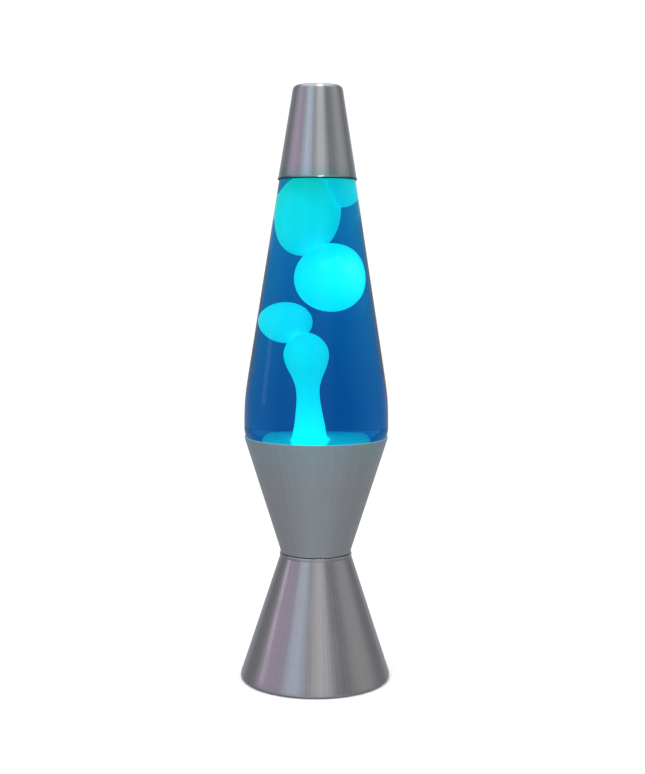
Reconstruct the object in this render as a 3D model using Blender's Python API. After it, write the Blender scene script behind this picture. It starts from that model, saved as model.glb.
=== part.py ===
"""Lava lamp: a tapered glass globe with wax and liquid in it, standing in an hourglass metal base.

Metres, +Z up, origin at the centre of the resting plane, front towards -Y.
The globe lifts out of the base, the cap lifts off the globe, the bulb unscrews from its socket and
the free wax blobs rise and sink in the liquid.
"""

import math

import bmesh
import bpy
from mathutils import Matrix, Vector

# ---------------------------------------------------------------- driving dimensions (metres)
MM = 0.001
GAP = 0.3 * MM

TOTAL_HEIGHT = 368.3 * MM

# Lower cone of the base
FOOT_LIFT = 0.8 * MM
CONE_BOTTOM_RADIUS = 47.1 * MM
CONE_TOP_RADIUS = 21.9 * MM
CONE_TOP_Z = 80.2 * MM
SHELL_WALL = 0.85 * MM
FLANGE_BORE_RADIUS = 15.6 * MM
HEM_RADIUS = 44.6 * MM
HEM_HEIGHT = 1.4 * MM

# Upper funnel of the base
FUNNEL_BOTTOM_Z = CONE_TOP_Z + GAP
FUNNEL_SIDE_Z = 82.0 * MM
FUNNEL_BOTTOM_RADIUS = 22.0 * MM
RIM_Z = 153.5 * MM
RIM_RADIUS = 44.7 * MM

# Glass globe
GLASS_WALL = 2.5 * MM
GLOBE_FLOOR_Z = 123.0 * MM
GLASS_MAX_RADIUS = 44.8 * MM
GLASS_MAX_Z = 158.5 * MM
KINK_RADIUS = 44.1 * MM
KINK_Z = 180.0 * MM
CAP_EDGE_Z = 311.2 * MM
GLASS_AT_CAP_RADIUS = 23.4 * MM
MOUTH_RADIUS = 13.3 * MM
MOUTH_BORE_RADIUS = 8.5 * MM
MOUTH_Z = 348.2 * MM

# Liquid
LIQUID_SURFACE_Z = 322.0 * MM

# Spring-shaped heating coil on the globe's floor
COIL_RADIUS = 22.0 * MM
COIL_TUBE_RADIUS = 3.0 * MM
COIL_WIRE_RADIUS = 0.5 * MM
COIL_TURNS = 20

# Top cap
CAP_WALL = 0.5 * MM
CAP_EDGE_RADIUS = 24.2 * MM
CAP_TOP_RADIUS = 14.9 * MM
CAP_CORNER_RADIUS = 3.2 * MM

# Socket and bulb
THREAD_PITCH = 2.82 * MM
THREAD_DEPTH = 0.7 * MM
THREAD_ROWS_PER_TURN = 4
BULB_CREST_RADIUS = 8.3 * MM
BULB_RADIUS = 17.5 * MM
BULB_TOP_Z = 110.0 * MM
BULB_SHELL_WALL = 0.35 * MM
BULB_SHELL_LOW_Z = 48.9 * MM
BULB_SHELL_HIGH_Z = 66.5 * MM
BULB_GLASS_WALL = 0.6 * MM
BULB_NECK_RADIUS = 6.9 * MM
BULB_NECK_LOW_Z = 61.0 * MM
BULB_LEAD_REACH = 9.0 * MM
BULB_LEAD_TOP_Z = 92.0 * MM
INSULATOR_LOW_Z = 46.4 * MM
INSULATOR_HIGH_Z = 48.6 * MM
BULB_TIP_LOW_Z = 44.3 * MM
SOCKET_RADIUS = 12.0 * MM
SOCKET_BOTTOM_Z = 34.0 * MM
SOCKET_FLOOR_Z = 42.0 * MM
SOCKET_LEDGE_Z = 46.7 * MM
SOCKET_TOP_Z = 68.0 * MM
SOCKET_SHELL_WALL = 0.4 * MM
NIPPLE_RADIUS = 4.0 * MM
NIPPLE_WALL = 1.2 * MM
NIPPLE_NUT_HALF_FLAT = 6.5 * MM
NIPPLE_NUT_HEIGHT = 3.0 * MM

# Bracket and waist screws
STRAP_THICKNESS = 1.0 * MM
STRAP_WIDTH = 11.0 * MM
BRACKET_LEG_X = 13.9 * MM
BRACKET_FOOT_END_X = 20.1 * MM
BRACKET_FOOT_TOP_Z = 78.9 * MM
WAIST_NUT_HALF_FLAT = 2.5 * MM
WAIST_NUT_HEIGHT = 2.0 * MM
WAIST_SCREW_X = 17.9 * MM
WAIST_SCREW_HEAD_RADIUS = 2.2 * MM
WAIST_SCREW_SHANK_RADIUS = 1.2 * MM
WAIST_HOLE_RADIUS = 1.5 * MM

# Bottom plate and feet
PLATE_THICKNESS = 1.8 * MM
FOOT_RADIUS = 5.0 * MM
FOOT_HEIGHT = 1.6 * MM
FOOT_RING_RADIUS = 35.0 * MM
VENT_COUNT = 6
VENT_IN_RADIUS = 9.0 * MM
VENT_OUT_RADIUS = 24.0 * MM
VENT_HALF_WIDTH = 1.4 * MM

# Cord grommet in the back of the lower cone
GROMMET_Z = 14.0 * MM
GROMMET_HOLE_RADIUS = 4.2 * MM
GROMMET_BORE_RADIUS = 2.6 * MM
GROMMET_FLANGE_WIDTH = 1.5 * MM
GROMMET_FLANGE_THICKNESS = 1.3 * MM

# Crown cap and its liner
LINER_RADIUS = 12.6 * MM
LINER_THICKNESS = 0.8 * MM
CROWN_SHEET = 0.35 * MM
CROWN_FLUTES = 21

# Facets round a turned piece
FINE = 36
MEDIUM = 24
SMALL = 16

# Wax blobs: name, centre, half sizes (x, y, z), travel down and up
WAX_BLOBS = {
    "wax_blob_top": ((-3.6, 6.5, 289.3), (13.6, 13.5, 24.5), (0.0, 5.0)),
    "wax_blob_rear": ((13.8, 7.6, 303.2), (5.4, 5.4, 9.3), (0.0, 5.0)),
    "wax_blob_big": ((7.2, -9.5, 251.2), (19.0, 15.5, 20.7), (4.0, 0.8)),
    "wax_blob_small": ((-13.4, 9.0, 222.5), (11.8, 11.3, 13.0), (0.0, 3.0)),
}

# Space between a blob and the wall of its room in the liquid, which is cut with coarser facets
BLOB_ROOM = 1.3 * MM

# Thin ducts that open each blob's room to the next one above: low, high, x, y
LIQUID_DUCTS = (
    (210.0, 245.0, -7.6, 1.0),
    (255.0, 285.0, -2.0, 1.0),
    (300.0, 330.0, -3.6, 6.5),
    (295.0, 330.0, 12.0, 7.6),
)
DUCT_RADIUS = 0.8 * MM

# Side of the wax pool, which stands clear of the glass: radius and height
POOL_SIDE = (
    (30.8, 132.4),
    (32.0, 138.0),
    (31.8, 146.0),
    (29.8, 150.6),
    (28.0, 152.4),
    (25.0, 153.2),
)
POOL_TOP_Z = 153.4 * MM

# Wax column: height, centre x, centre y and radius at each level; its foot leans to the front
COLUMN_LEVELS = (
    (146.0, -3.0, -18.4, 12.0),
    (150.0, -3.2, -19.6, 11.2),
    (154.0, -3.4, -19.0, 9.7),
    (158.0, -3.6, -17.6, 8.8),
    (163.0, -3.9, -15.6, 7.8),
    (170.0, -4.3, -12.8, 6.7),
    (178.0, -4.6, -10.0, 5.8),
    (184.5, -4.8, -8.2, 6.0),
    (190.5, -5.0, -7.0, 7.6),
    (196.5, -5.1, -6.3, 9.7),
    (203.0, -5.1, -6.0, 11.0),
    (208.5, -5.1, -6.0, 10.2),
    (213.0, -5.1, -6.0, 7.8),
    (216.2, -5.1, -6.0, 4.3),
    (217.5, -5.1, -6.0, 1.2),
)
COLUMN_ROOM = 0.5 * MM


# ---------------------------------------------------------------- general helpers
def clear_scene():
    for old in list(bpy.data.objects):
        bpy.data.objects.remove(old, do_unlink=True)


def material(name, color, roughness, metallic=0.0):
    shader_material = bpy.data.materials.new(name)
    shader_material.use_nodes = True
    shader = shader_material.node_tree.nodes["Principled BSDF"]
    shader.inputs["Base Color"].default_value = (*color, 1.0)
    shader.inputs["Roughness"].default_value = roughness
    shader.inputs["Metallic"].default_value = metallic
    return shader_material


def add_object(name, bm, finish=None, parent=None, origin=(0.0, 0.0, 0.0), sharp_degrees=35.0):
    """Turn a bmesh in world metres into an object whose origin is at the given point."""
    bmesh.ops.recalc_face_normals(bm, faces=bm.faces)
    bmesh.ops.translate(bm, verts=bm.verts, vec=-Vector(origin))
    mesh = bpy.data.meshes.new(name)
    bm.to_mesh(mesh)
    bm.free()
    mesh.shade_smooth()
    mesh.set_sharp_from_angle(angle=math.radians(sharp_degrees))
    if finish:
        mesh.materials.append(finish)
    made = bpy.data.objects.new(name, mesh)
    bpy.context.collection.objects.link(made)
    if parent:
        made.parent = parent
        made.location = Vector(origin) - parent.location
    else:
        made.location = origin
    return made


def turned(outline, steps):
    """Spin a closed (radius, height) outline round +Z into a solid."""
    bm = bmesh.new()
    ring = [bm.verts.new((radius, 0.0, height)) for radius, height in outline]
    count = len(ring)
    sides = [
        bm.edges.new((ring[i], ring[(i + 1) % count]))
        for i in range(count)
        if outline[i][0] > 0.0 or outline[(i + 1) % count][0] > 0.0
    ]
    bmesh.ops.spin(
        bm,
        geom=ring + sides,
        cent=(0.0, 0.0, 0.0),
        axis=(0.0, 0.0, 1.0),
        angle=2.0 * math.pi,
        steps=steps,
        use_merge=True,
    )
    bmesh.ops.remove_doubles(bm, verts=bm.verts, dist=1e-6)
    return bm


def cylinder(radius, low, high, steps, at=(0.0, 0.0)):
    bm = bmesh.new()
    bmesh.ops.create_cone(
        bm,
        cap_ends=True,
        segments=steps,
        radius1=radius,
        radius2=radius,
        depth=high - low,
        matrix=Matrix.Translation((at[0], at[1], (low + high) / 2.0)),
    )
    return bm


def block(low, high):
    """An axis-aligned box between two corners."""
    bm = bmesh.new()
    size = Vector(high) - Vector(low)
    middle = (Vector(high) + Vector(low)) / 2.0
    bmesh.ops.create_cube(bm, size=1.0, matrix=Matrix.Translation(middle) @ Matrix.Diagonal((*size, 1.0)))
    return bm


def rings_solid(rings):
    """A closed solid from rings of equal point counts, capped at both ends."""
    bm = bmesh.new()
    rows = [[bm.verts.new(point) for point in ring] for ring in rings]
    count = len(rows[0])
    for lower, upper in zip(rows, rows[1:]):
        for i in range(count):
            j = (i + 1) % count
            bm.faces.new((lower[i], lower[j], upper[j], upper[i]))
    bm.faces.new(rows[0][::-1])
    bm.faces.new(rows[-1])
    return bm


def sleeve_solid(outer_rings, inner_rings):
    """A tube-like solid between two stacks of rings, closed by a rim at each end."""
    bm = bmesh.new()
    outer = [[bm.verts.new(point) for point in ring] for ring in outer_rings]
    inner = [[bm.verts.new(point) for point in ring] for ring in inner_rings]
    loop = outer + inner[::-1]
    count = len(loop[0])
    for row, following in zip(loop, loop[1:] + loop[:1]):
        for i in range(count):
            j = (i + 1) % count
            bm.faces.new((row[i], row[j], following[j], following[i]))
    return bm


def arc(center, radius, start_degrees, end_degrees, steps):
    """Points of an arc in the (radius, height) plane."""
    points = []
    for i in range(steps + 1):
        angle = math.radians(start_degrees + (end_degrees - start_degrees) * i / steps)
        points.append((center[0] + radius * math.cos(angle), center[1] + radius * math.sin(angle)))
    return points


def between(points, height):
    """Radius at a height on a polyline of (radius, height) points that rises with height."""
    for (radius_a, height_a), (radius_b, height_b) in zip(points, points[1:]):
        if height_a <= height <= height_b:
            share = (height - height_a) / (height_b - height_a)
            return radius_a + (radius_b - radius_a) * share
    return points[-1][0] if height > points[-1][1] else points[0][0]


def boolean(target, other, operation="DIFFERENCE"):
    """Cut or join another object; the other stays in the scene as a hidden guide."""
    other.hide_render = True
    other.display_type = "WIRE"
    modifier = target.modifiers.new(other.name, "BOOLEAN")
    modifier.operation = operation
    modifier.solver = "EXACT"
    modifier.object = other


def empty(name, location, parent=None):
    made = bpy.data.objects.new(name, None)
    bpy.context.collection.objects.link(made)
    made.location = location
    made.parent = parent
    return made


# ---------------------------------------------------------------- materials
def make_materials():
    return {
        "brushed_aluminium": material("brushed_aluminium", (0.55, 0.54, 0.53), 0.32, 1.0),
        "satin_silver": material("satin_silver", (0.26, 0.28, 0.29), 0.45, 0.6),
        "clear_glass": material("clear_glass", (0.80, 0.93, 0.95), 0.03),
        "blue_liquid": material("blue_liquid", (0.01, 0.12, 0.42), 0.05),
        "cyan_wax": material("cyan_wax", (0.02, 0.78, 0.92), 0.35),
        "black_plastic": material("black_plastic", (0.02, 0.02, 0.02), 0.5),
        "black_rubber": material("black_rubber", (0.015, 0.015, 0.015), 0.8),
        "zinc_steel": material("zinc_steel", (0.62, 0.62, 0.60), 0.35, 1.0),
        "brass": material("brass", (0.78, 0.58, 0.25), 0.3, 1.0),
        "bakelite": material("bakelite", (0.04, 0.03, 0.025), 0.4),
        "bulb_glass": material("bulb_glass", (0.93, 0.93, 0.90), 0.05),
        "black_glass": material("black_glass", (0.01, 0.01, 0.015), 0.15),
        "solder": material("solder", (0.60, 0.60, 0.62), 0.4, 1.0),
        "tungsten": material("tungsten", (0.35, 0.34, 0.33), 0.5, 1.0),
        "crown_tinplate": material("crown_tinplate", (0.75, 0.62, 0.35), 0.3, 1.0),
        "liner_white": material("liner_white", (0.85, 0.85, 0.82), 0.5),
    }


# ---------------------------------------------------------------- base shells
def cone_outer_radius(height):
    low = FOOT_LIFT + HEM_HEIGHT
    high = CONE_TOP_Z - 1.8 * MM
    share = (height - low) / (high - low)
    return CONE_BOTTOM_RADIUS + (CONE_TOP_RADIUS + 0.1 * MM - CONE_BOTTOM_RADIUS) * share


def funnel_outer_radius(height):
    share = (height - FUNNEL_SIDE_Z) / (RIM_Z - 0.6 * MM - FUNNEL_SIDE_Z)
    return FUNNEL_BOTTOM_RADIUS + (RIM_RADIUS - FUNNEL_BOTTOM_RADIUS) * share


def grommet_frame():
    """Axis frame of the cord grommet: its +Z points out of the cone's back wall."""
    slope = math.atan2(CONE_BOTTOM_RADIUS - CONE_TOP_RADIUS, CONE_TOP_Z - FOOT_LIFT)
    wall_middle = cone_outer_radius(GROMMET_Z) - SHELL_WALL / 2.0
    tilt = Matrix.Rotation(-(math.pi / 2.0 - slope), 4, "X")
    return Matrix.Translation((0.0, wall_middle, GROMMET_Z)) @ tilt


def make_lower_cone(parent, finish):
    bead_radius = CONE_TOP_RADIUS + 0.4 * MM
    side_top = CONE_TOP_Z - 1.8 * MM
    outline = [
        (FLANGE_BORE_RADIUS, CONE_TOP_Z - 0.2 * MM),
        (CONE_TOP_RADIUS - 0.7 * MM, CONE_TOP_Z - 0.2 * MM),
        (CONE_TOP_RADIUS, CONE_TOP_Z),
        (bead_radius, CONE_TOP_Z - 0.4 * MM),
        (bead_radius, CONE_TOP_Z - 1.0 * MM),
        (cone_outer_radius(side_top), side_top),
        (CONE_BOTTOM_RADIUS, FOOT_LIFT + HEM_HEIGHT),
        (CONE_BOTTOM_RADIUS - 0.1 * MM, FOOT_LIFT + 0.5 * MM),
        (CONE_BOTTOM_RADIUS - 0.6 * MM, FOOT_LIFT),
        (HEM_RADIUS, FOOT_LIFT),
        (HEM_RADIUS, FOOT_LIFT + HEM_HEIGHT),
        (CONE_BOTTOM_RADIUS - 1.0 * MM, FOOT_LIFT + HEM_HEIGHT),
        (cone_outer_radius(side_top) - SHELL_WALL, side_top),
        (CONE_TOP_RADIUS - 1.0 * MM, CONE_TOP_Z - 1.0 * MM),
        (FLANGE_BORE_RADIUS, CONE_TOP_Z - 1.0 * MM),
    ]
    cone = add_object("lower_cone", turned(outline, FINE), finish, parent)
    hole = cylinder(GROMMET_HOLE_RADIUS, -4.0 * MM, 4.0 * MM, SMALL)
    bmesh.ops.transform(hole, matrix=grommet_frame(), verts=hole.verts)
    boolean(cone, add_object("guide_grommet_hole", hole))
    return cone


def make_upper_funnel(parent, finish):
    wall = SHELL_WALL
    outline = [
        (FLANGE_BORE_RADIUS, FUNNEL_BOTTOM_Z + 0.9 * MM),
        (FUNNEL_BOTTOM_RADIUS - wall - 0.3 * MM, FUNNEL_BOTTOM_Z + 0.9 * MM),
        (funnel_outer_radius(FUNNEL_SIDE_Z) - wall, FUNNEL_SIDE_Z),
        (funnel_outer_radius(RIM_Z - 1.2 * MM) - wall, RIM_Z - 1.2 * MM),
        (RIM_RADIUS - 0.8 * MM, RIM_Z),
        (RIM_RADIUS - 0.2 * MM, RIM_Z),
        (RIM_RADIUS, RIM_Z - 0.5 * MM),
        (funnel_outer_radius(RIM_Z - 2.0 * MM), RIM_Z - 2.0 * MM),
        (FUNNEL_BOTTOM_RADIUS, FUNNEL_SIDE_Z),
        (FUNNEL_BOTTOM_RADIUS - 0.35 * MM, FUNNEL_BOTTOM_Z + 0.5 * MM),
        (FUNNEL_BOTTOM_RADIUS - 1.2 * MM, FUNNEL_BOTTOM_Z + 0.1 * MM),
        (FLANGE_BORE_RADIUS, FUNNEL_BOTTOM_Z + 0.1 * MM),
    ]
    return add_object("upper_funnel", turned(outline, FINE), finish, parent)


def make_waist_holes(*targets):
    """Two holes for the screws that clamp the shells and the bracket together."""
    for number, side in enumerate((-1.0, 1.0), start=1):
        hole = cylinder(
            WAIST_HOLE_RADIUS,
            BRACKET_FOOT_TOP_Z - 4.0 * MM,
            FUNNEL_SIDE_Z + 4.0 * MM,
            SMALL,
            at=(side * WAIST_SCREW_X, 0.0),
        )
        guide = add_object(f"guide_waist_hole_{number}", hole)
        for target in targets:
            boolean(target, guide)


# ---------------------------------------------------------------- bottom plate, feet, grommet
def foot_positions():
    return [
        (
            FOOT_RING_RADIUS * math.cos(math.radians(angle)),
            FOOT_RING_RADIUS * math.sin(math.radians(angle)),
        )
        for angle in (45, 135, 225, 315)
    ]


def make_bottom_plate(parent, finish):
    low = FOOT_LIFT + 0.1 * MM
    top = low + PLATE_THICKNESS
    edge = HEM_RADIUS - GAP
    lip = HEM_RADIUS + 0.6 * MM
    hook_low = FOOT_LIFT + HEM_HEIGHT + GAP
    outline = [
        (0.0, low),
        (0.0, top),
        (edge - 2.2 * MM, top),
        (edge - 2.2 * MM, top + 3.0 * MM),
        (edge - 0.6 * MM, top + 3.0 * MM),
        (lip, hook_low + 0.6 * MM),
        (lip, hook_low),
        (edge, hook_low),
        (edge, low + 0.4 * MM),
        (edge - 0.4 * MM, low),
    ]
    plate = add_object("bottom_plate", turned(outline, FINE), finish, parent)
    for number, (x, y) in enumerate(foot_positions(), start=1):
        recess = cylinder(FOOT_RADIUS + GAP, -1.0 * MM, FOOT_HEIGHT + GAP, SMALL, at=(x, y))
        boolean(plate, add_object(f"guide_foot_recess_{number}", recess))
    for number in range(VENT_COUNT):
        slot = block(
            (VENT_IN_RADIUS, -VENT_HALF_WIDTH, -1.0 * MM),
            (VENT_OUT_RADIUS, VENT_HALF_WIDTH, top + 1.0 * MM),
        )
        turn = Matrix.Rotation(2.0 * math.pi * number / VENT_COUNT, 4, "Z")
        bmesh.ops.transform(slot, matrix=turn, verts=slot.verts)
        boolean(plate, add_object(f"guide_vent_{number + 1}", slot))
    return plate


def make_feet(parent, finish):
    for number, (x, y) in enumerate(foot_positions(), start=1):
        outline = [
            (0.0, 0.0),
            (0.0, FOOT_HEIGHT),
            (FOOT_RADIUS, FOOT_HEIGHT),
            (FOOT_RADIUS, 0.3 * MM),
            (FOOT_RADIUS - 0.3 * MM, 0.0),
        ]
        foot = turned(outline, SMALL)
        bmesh.ops.translate(foot, verts=foot.verts, vec=(x, y, 0.0))
        add_object(f"foot_{number}", foot, finish, parent)


def make_cord_grommet(parent, finish):
    """A spool that lines the hole where the mains lead enters the base."""
    half_wall = SHELL_WALL / 2.0
    neck = GROMMET_HOLE_RADIUS - GAP
    flange = GROMMET_HOLE_RADIUS + GROMMET_FLANGE_WIDTH
    outer_face = half_wall + GAP + GROMMET_FLANGE_THICKNESS
    inner_seat = -half_wall - 0.9 * MM
    inner_face = inner_seat - GROMMET_FLANGE_THICKNESS
    outline = [
        (GROMMET_BORE_RADIUS, outer_face),
        (flange - 0.5 * MM, outer_face),
        (flange, outer_face - 0.5 * MM),
        (flange, half_wall + GAP),
        (neck, half_wall + GAP),
        (neck, inner_seat),
        (flange, inner_seat),
        (flange, inner_face),
        (GROMMET_BORE_RADIUS, inner_face),
    ]
    spool = turned(outline, SMALL)
    bmesh.ops.transform(spool, matrix=grommet_frame(), verts=spool.verts)
    return add_object("cord_grommet", spool, finish, parent)


# ---------------------------------------------------------------- bracket, waist screws, socket
def make_socket_bracket(parent, finish):
    """A strap bent to a U: a bar under the socket, two legs and two feet under the waist flange."""
    half = STRAP_WIDTH / 2.0
    leg_in = BRACKET_LEG_X
    leg_out = leg_in + STRAP_THICKNESS
    foot_top = BRACKET_FOOT_TOP_Z
    foot_low = foot_top - STRAP_THICKNESS
    bar_top = SOCKET_BOTTOM_Z - GAP
    bar_low = bar_top - STRAP_THICKNESS
    right = [
        (leg_in, bar_top),
        (leg_in, foot_top),
        (BRACKET_FOOT_END_X, foot_top),
        (BRACKET_FOOT_END_X, foot_low),
        (leg_out, foot_low),
        (leg_out, bar_low + 1.0 * MM),
        (leg_out - 1.0 * MM, bar_low),
    ]
    section = right + [(-x, z) for x, z in reversed(right)]
    bm = bmesh.new()
    front = [bm.verts.new((x, -half, z)) for x, z in section]
    face = bm.faces.new(front)
    sweep = bmesh.ops.extrude_face_region(bm, geom=[face])
    moved = [item for item in sweep["geom"] if isinstance(item, bmesh.types.BMVert)]
    bmesh.ops.translate(bm, verts=moved, vec=(0.0, STRAP_WIDTH, 0.0))
    bracket = add_object("socket_bracket", bm, finish, parent)
    hole = cylinder(NIPPLE_RADIUS + GAP, bar_low - 1.0 * MM, bar_top + 1.0 * MM, SMALL)
    boolean(bracket, add_object("guide_nipple_hole", hole))
    return bracket


def make_waist_fasteners(parent, finish):
    head_low = FUNNEL_BOTTOM_Z + 0.9 * MM + GAP
    nut_top = BRACKET_FOOT_TOP_Z - STRAP_THICKNESS - GAP
    nut_low = nut_top - WAIST_NUT_HEIGHT
    for number, side in enumerate((-1.0, 1.0), start=1):
        x = side * WAIST_SCREW_X
        outline = [
            (0.0, nut_low - 1.2 * MM),
            (0.0, head_low + 0.9 * MM),
            (0.8 * MM, head_low + 0.9 * MM),
            (0.8 * MM, head_low + 1.6 * MM),
            (1.6 * MM, head_low + 1.5 * MM),
            (WAIST_SCREW_HEAD_RADIUS, head_low + 0.9 * MM),
            (WAIST_SCREW_HEAD_RADIUS, head_low),
            (WAIST_SCREW_SHANK_RADIUS, head_low),
            (WAIST_SCREW_SHANK_RADIUS, nut_low - 0.8 * MM),
            (WAIST_SCREW_SHANK_RADIUS - 0.4 * MM, nut_low - 1.2 * MM),
        ]
        screw = turned(outline, SMALL)
        bmesh.ops.translate(screw, verts=screw.verts, vec=(x, 0.0, 0.0))
        add_object(f"waist_screw_{number}", screw, finish, parent)
        nut = hexagon_nut(WAIST_NUT_HALF_FLAT, WAIST_HOLE_RADIUS, nut_low, nut_top)
        bmesh.ops.translate(nut, verts=nut.verts, vec=(x, 0.0, 0.0))
        add_object(f"waist_nut_{number}", nut, finish, parent)


def hexagon_nut(half_flat, bore, low, high):
    """A hexagonal nut with flats facing +X and -X and a 12-sided bore."""
    corner = half_flat / math.cos(math.radians(30.0))
    outer, inner = [], []
    for i in range(12):
        angle = math.radians(30.0 * i)
        reach = corner if i % 2 else half_flat
        outer.append((reach * math.cos(angle), reach * math.sin(angle)))
        inner.append((bore * math.cos(angle), bore * math.sin(angle)))
    return sleeve_solid(
        [[(x, y, z) for x, y in outer] for z in (low, high)],
        [[(x, y, z) for x, y in inner] for z in (low, high)],
    )


def make_nipple_and_nut(parent, finish):
    """The threaded tube that holds the socket on the bracket, and its locknut."""
    low = SOCKET_BOTTOM_Z - 8.5 * MM
    high = SOCKET_BOTTOM_Z + 5.0 * MM
    bore = NIPPLE_RADIUS - NIPPLE_WALL
    nipple = turned([(bore, low), (bore, high), (NIPPLE_RADIUS, high), (NIPPLE_RADIUS, low)], SMALL)
    add_object("socket_nipple", nipple, finish, parent)
    nut_top = SOCKET_BOTTOM_Z - STRAP_THICKNESS - 2.0 * GAP
    nut = hexagon_nut(NIPPLE_NUT_HALF_FLAT, NIPPLE_RADIUS + GAP, nut_top - NIPPLE_NUT_HEIGHT, nut_top)
    add_object("nipple_nut", nut, finish, parent)


def make_socket_body(parent, finish):
    ledge = SOCKET_LEDGE_Z
    floor = SOCKET_FLOOR_Z
    bottom = SOCKET_BOTTOM_Z
    top = SOCKET_TOP_Z
    shell_bore = BULB_CREST_RADIUS + SOCKET_SHELL_WALL + 3.0 * GAP
    contact_bore = 8.0 * MM
    nipple_seat = bottom + 5.4 * MM
    wire_hole = 1.6 * MM
    outline = [
        (shell_bore, top),
        (SOCKET_RADIUS - 0.5 * MM, top),
        (SOCKET_RADIUS, top - 0.5 * MM),
        (SOCKET_RADIUS, ledge),
        (SOCKET_RADIUS - 1.5 * MM, ledge - 2.0 * MM),
        (SOCKET_RADIUS - 1.5 * MM, bottom),
        (NIPPLE_RADIUS + GAP, bottom),
        (NIPPLE_RADIUS + GAP, nipple_seat),
        (wire_hole, nipple_seat),
        (wire_hole, floor),
        (contact_bore, floor),
        (contact_bore, ledge),
        (shell_bore, ledge),
    ]
    return add_object("socket_body", turned(outline, MEDIUM), finish, parent)


def make_socket_contact(parent, finish):
    """The domed centre contact on the socket's floor, with its rivet through the floor."""
    floor = SOCKET_FLOOR_Z
    rivet_low = floor - 3.0 * MM
    rivet_radius = 1.2 * MM
    dome_radius = 3.2 * MM
    outline = [
        (0.0, rivet_low),
        (0.0, floor + 1.9 * MM),
        (1.4 * MM, floor + 1.6 * MM),
        (dome_radius, floor + 0.7 * MM),
        (dome_radius, floor + GAP),
        (rivet_radius, floor + GAP),
        (rivet_radius, rivet_low),
    ]
    return add_object("socket_contact", turned(outline, SMALL), finish, parent)


def make_socket_shell(parent, finish):
    """The brass sleeve that the bulb screws into, with a flared mouth."""
    inside = BULB_CREST_RADIUS + GAP
    outside = inside + SOCKET_SHELL_WALL
    low = SOCKET_LEDGE_Z + GAP
    high = SOCKET_TOP_Z - 0.5 * MM
    flare = 0.3 * MM
    outline = [
        (inside + flare, high),
        (outside + flare, high),
        (outside + 0.1 * MM, high - 1.2 * MM),
        (outside, low),
        (inside, low),
        (inside, high - 1.2 * MM),
    ]
    return add_object("socket_shell", turned(outline, MEDIUM), finish, parent)


def thread_ring(height, crest_radius, share, phase_height):
    """One ring of a right-hand thread; share 1 is the full thread depth, 0 is a plain crest circle."""
    points = []
    for i in range(SMALL):
        angle = 2.0 * math.pi * i / SMALL
        turn = (height - phase_height) / THREAD_PITCH - angle / (2.0 * math.pi)
        dip = THREAD_DEPTH * share * (0.5 - 0.5 * math.cos(2.0 * math.pi * turn))
        radius = crest_radius - dip
        points.append((radius * math.cos(angle), radius * math.sin(angle), height))
    return points


def threaded_sleeve(crest_radius, wall, low, high):
    """A thin rolled-thread sleeve whose thread fades out over one pitch at each end."""
    rows = []
    steps = round((high - low) / THREAD_PITCH * THREAD_ROWS_PER_TURN)
    for i in range(steps + 1):
        height = low + (high - low) * i / steps
        from_end = min(height - low, high - height)
        rows.append((height, min(1.0, from_end / THREAD_PITCH)))
    outer = [thread_ring(height, crest_radius, share, low) for height, share in rows]
    inner = [thread_ring(height, crest_radius - wall, share, low) for height, share in rows]
    return sleeve_solid(outer, inner)


# ---------------------------------------------------------------- bulb
def make_bulb_envelope(parent, finish):
    """A tapering thin-walled envelope, open at its neck."""
    wall = BULB_GLASS_WALL
    shoulder_z = BULB_TOP_Z - 17.0 * MM
    outer = [
        (BULB_NECK_RADIUS, BULB_NECK_LOW_Z),
        (BULB_NECK_RADIUS, 67.0 * MM),
        (8.4 * MM, 70.0 * MM),
        (12.2 * MM, 79.0 * MM),
        (16.4 * MM, 88.0 * MM),
    ]
    outer += arc((0.0, shoulder_z), BULB_RADIUS, -6.0, 78.0, 6)
    dome = [(radius * (BULB_RADIUS - wall) / BULB_RADIUS, height) for radius, height in outer[5:]]
    inner = [(radius - wall, height) for radius, height in outer[:5]] + [
        (radius, shoulder_z + (height - shoulder_z) * (1.0 - wall / BULB_RADIUS)) for radius, height in dome
    ]
    top = shoulder_z + BULB_RADIUS
    outline = outer + [(0.0, top), (0.0, top - wall)] + inner[::-1]
    return add_object("bulb_envelope", turned(outline, MEDIUM), finish, parent)


def make_bulb_stem(parent, finish):
    """The glass rod with a flared foot that carries the lead wires."""
    foot_z = BULB_NECK_LOW_Z + 0.5 * MM
    foot_radius = 5.6 * MM
    outline = [
        (0.0, foot_z),
        (0.0, 82.0 * MM),
        (1.3 * MM, 81.6 * MM),
        (1.5 * MM, 70.0 * MM),
        (3.0 * MM, 66.0 * MM),
        (foot_radius, foot_z + 1.0 * MM),
        (foot_radius, foot_z),
    ]
    return add_object("bulb_stem", turned(outline, SMALL), finish, parent)


def wire(name, points, radius, finish, parent):
    """A round wire: a curve with a bevel and filled ends."""
    curve = bpy.data.curves.new(name, "CURVE")
    curve.dimensions = "3D"
    curve.bevel_depth = radius
    curve.bevel_resolution = 1
    curve.use_fill_caps = True
    spline = curve.splines.new("POLY")
    spline.points.add(len(points) - 1)
    for slot, point in zip(spline.points, points):
        slot.co = (*point, 1.0)
    curve.materials.append(finish)
    made = bpy.data.objects.new(name, curve)
    bpy.context.collection.objects.link(made)
    made.parent = parent
    if parent:
        made.location = -parent.location
    return made


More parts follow.
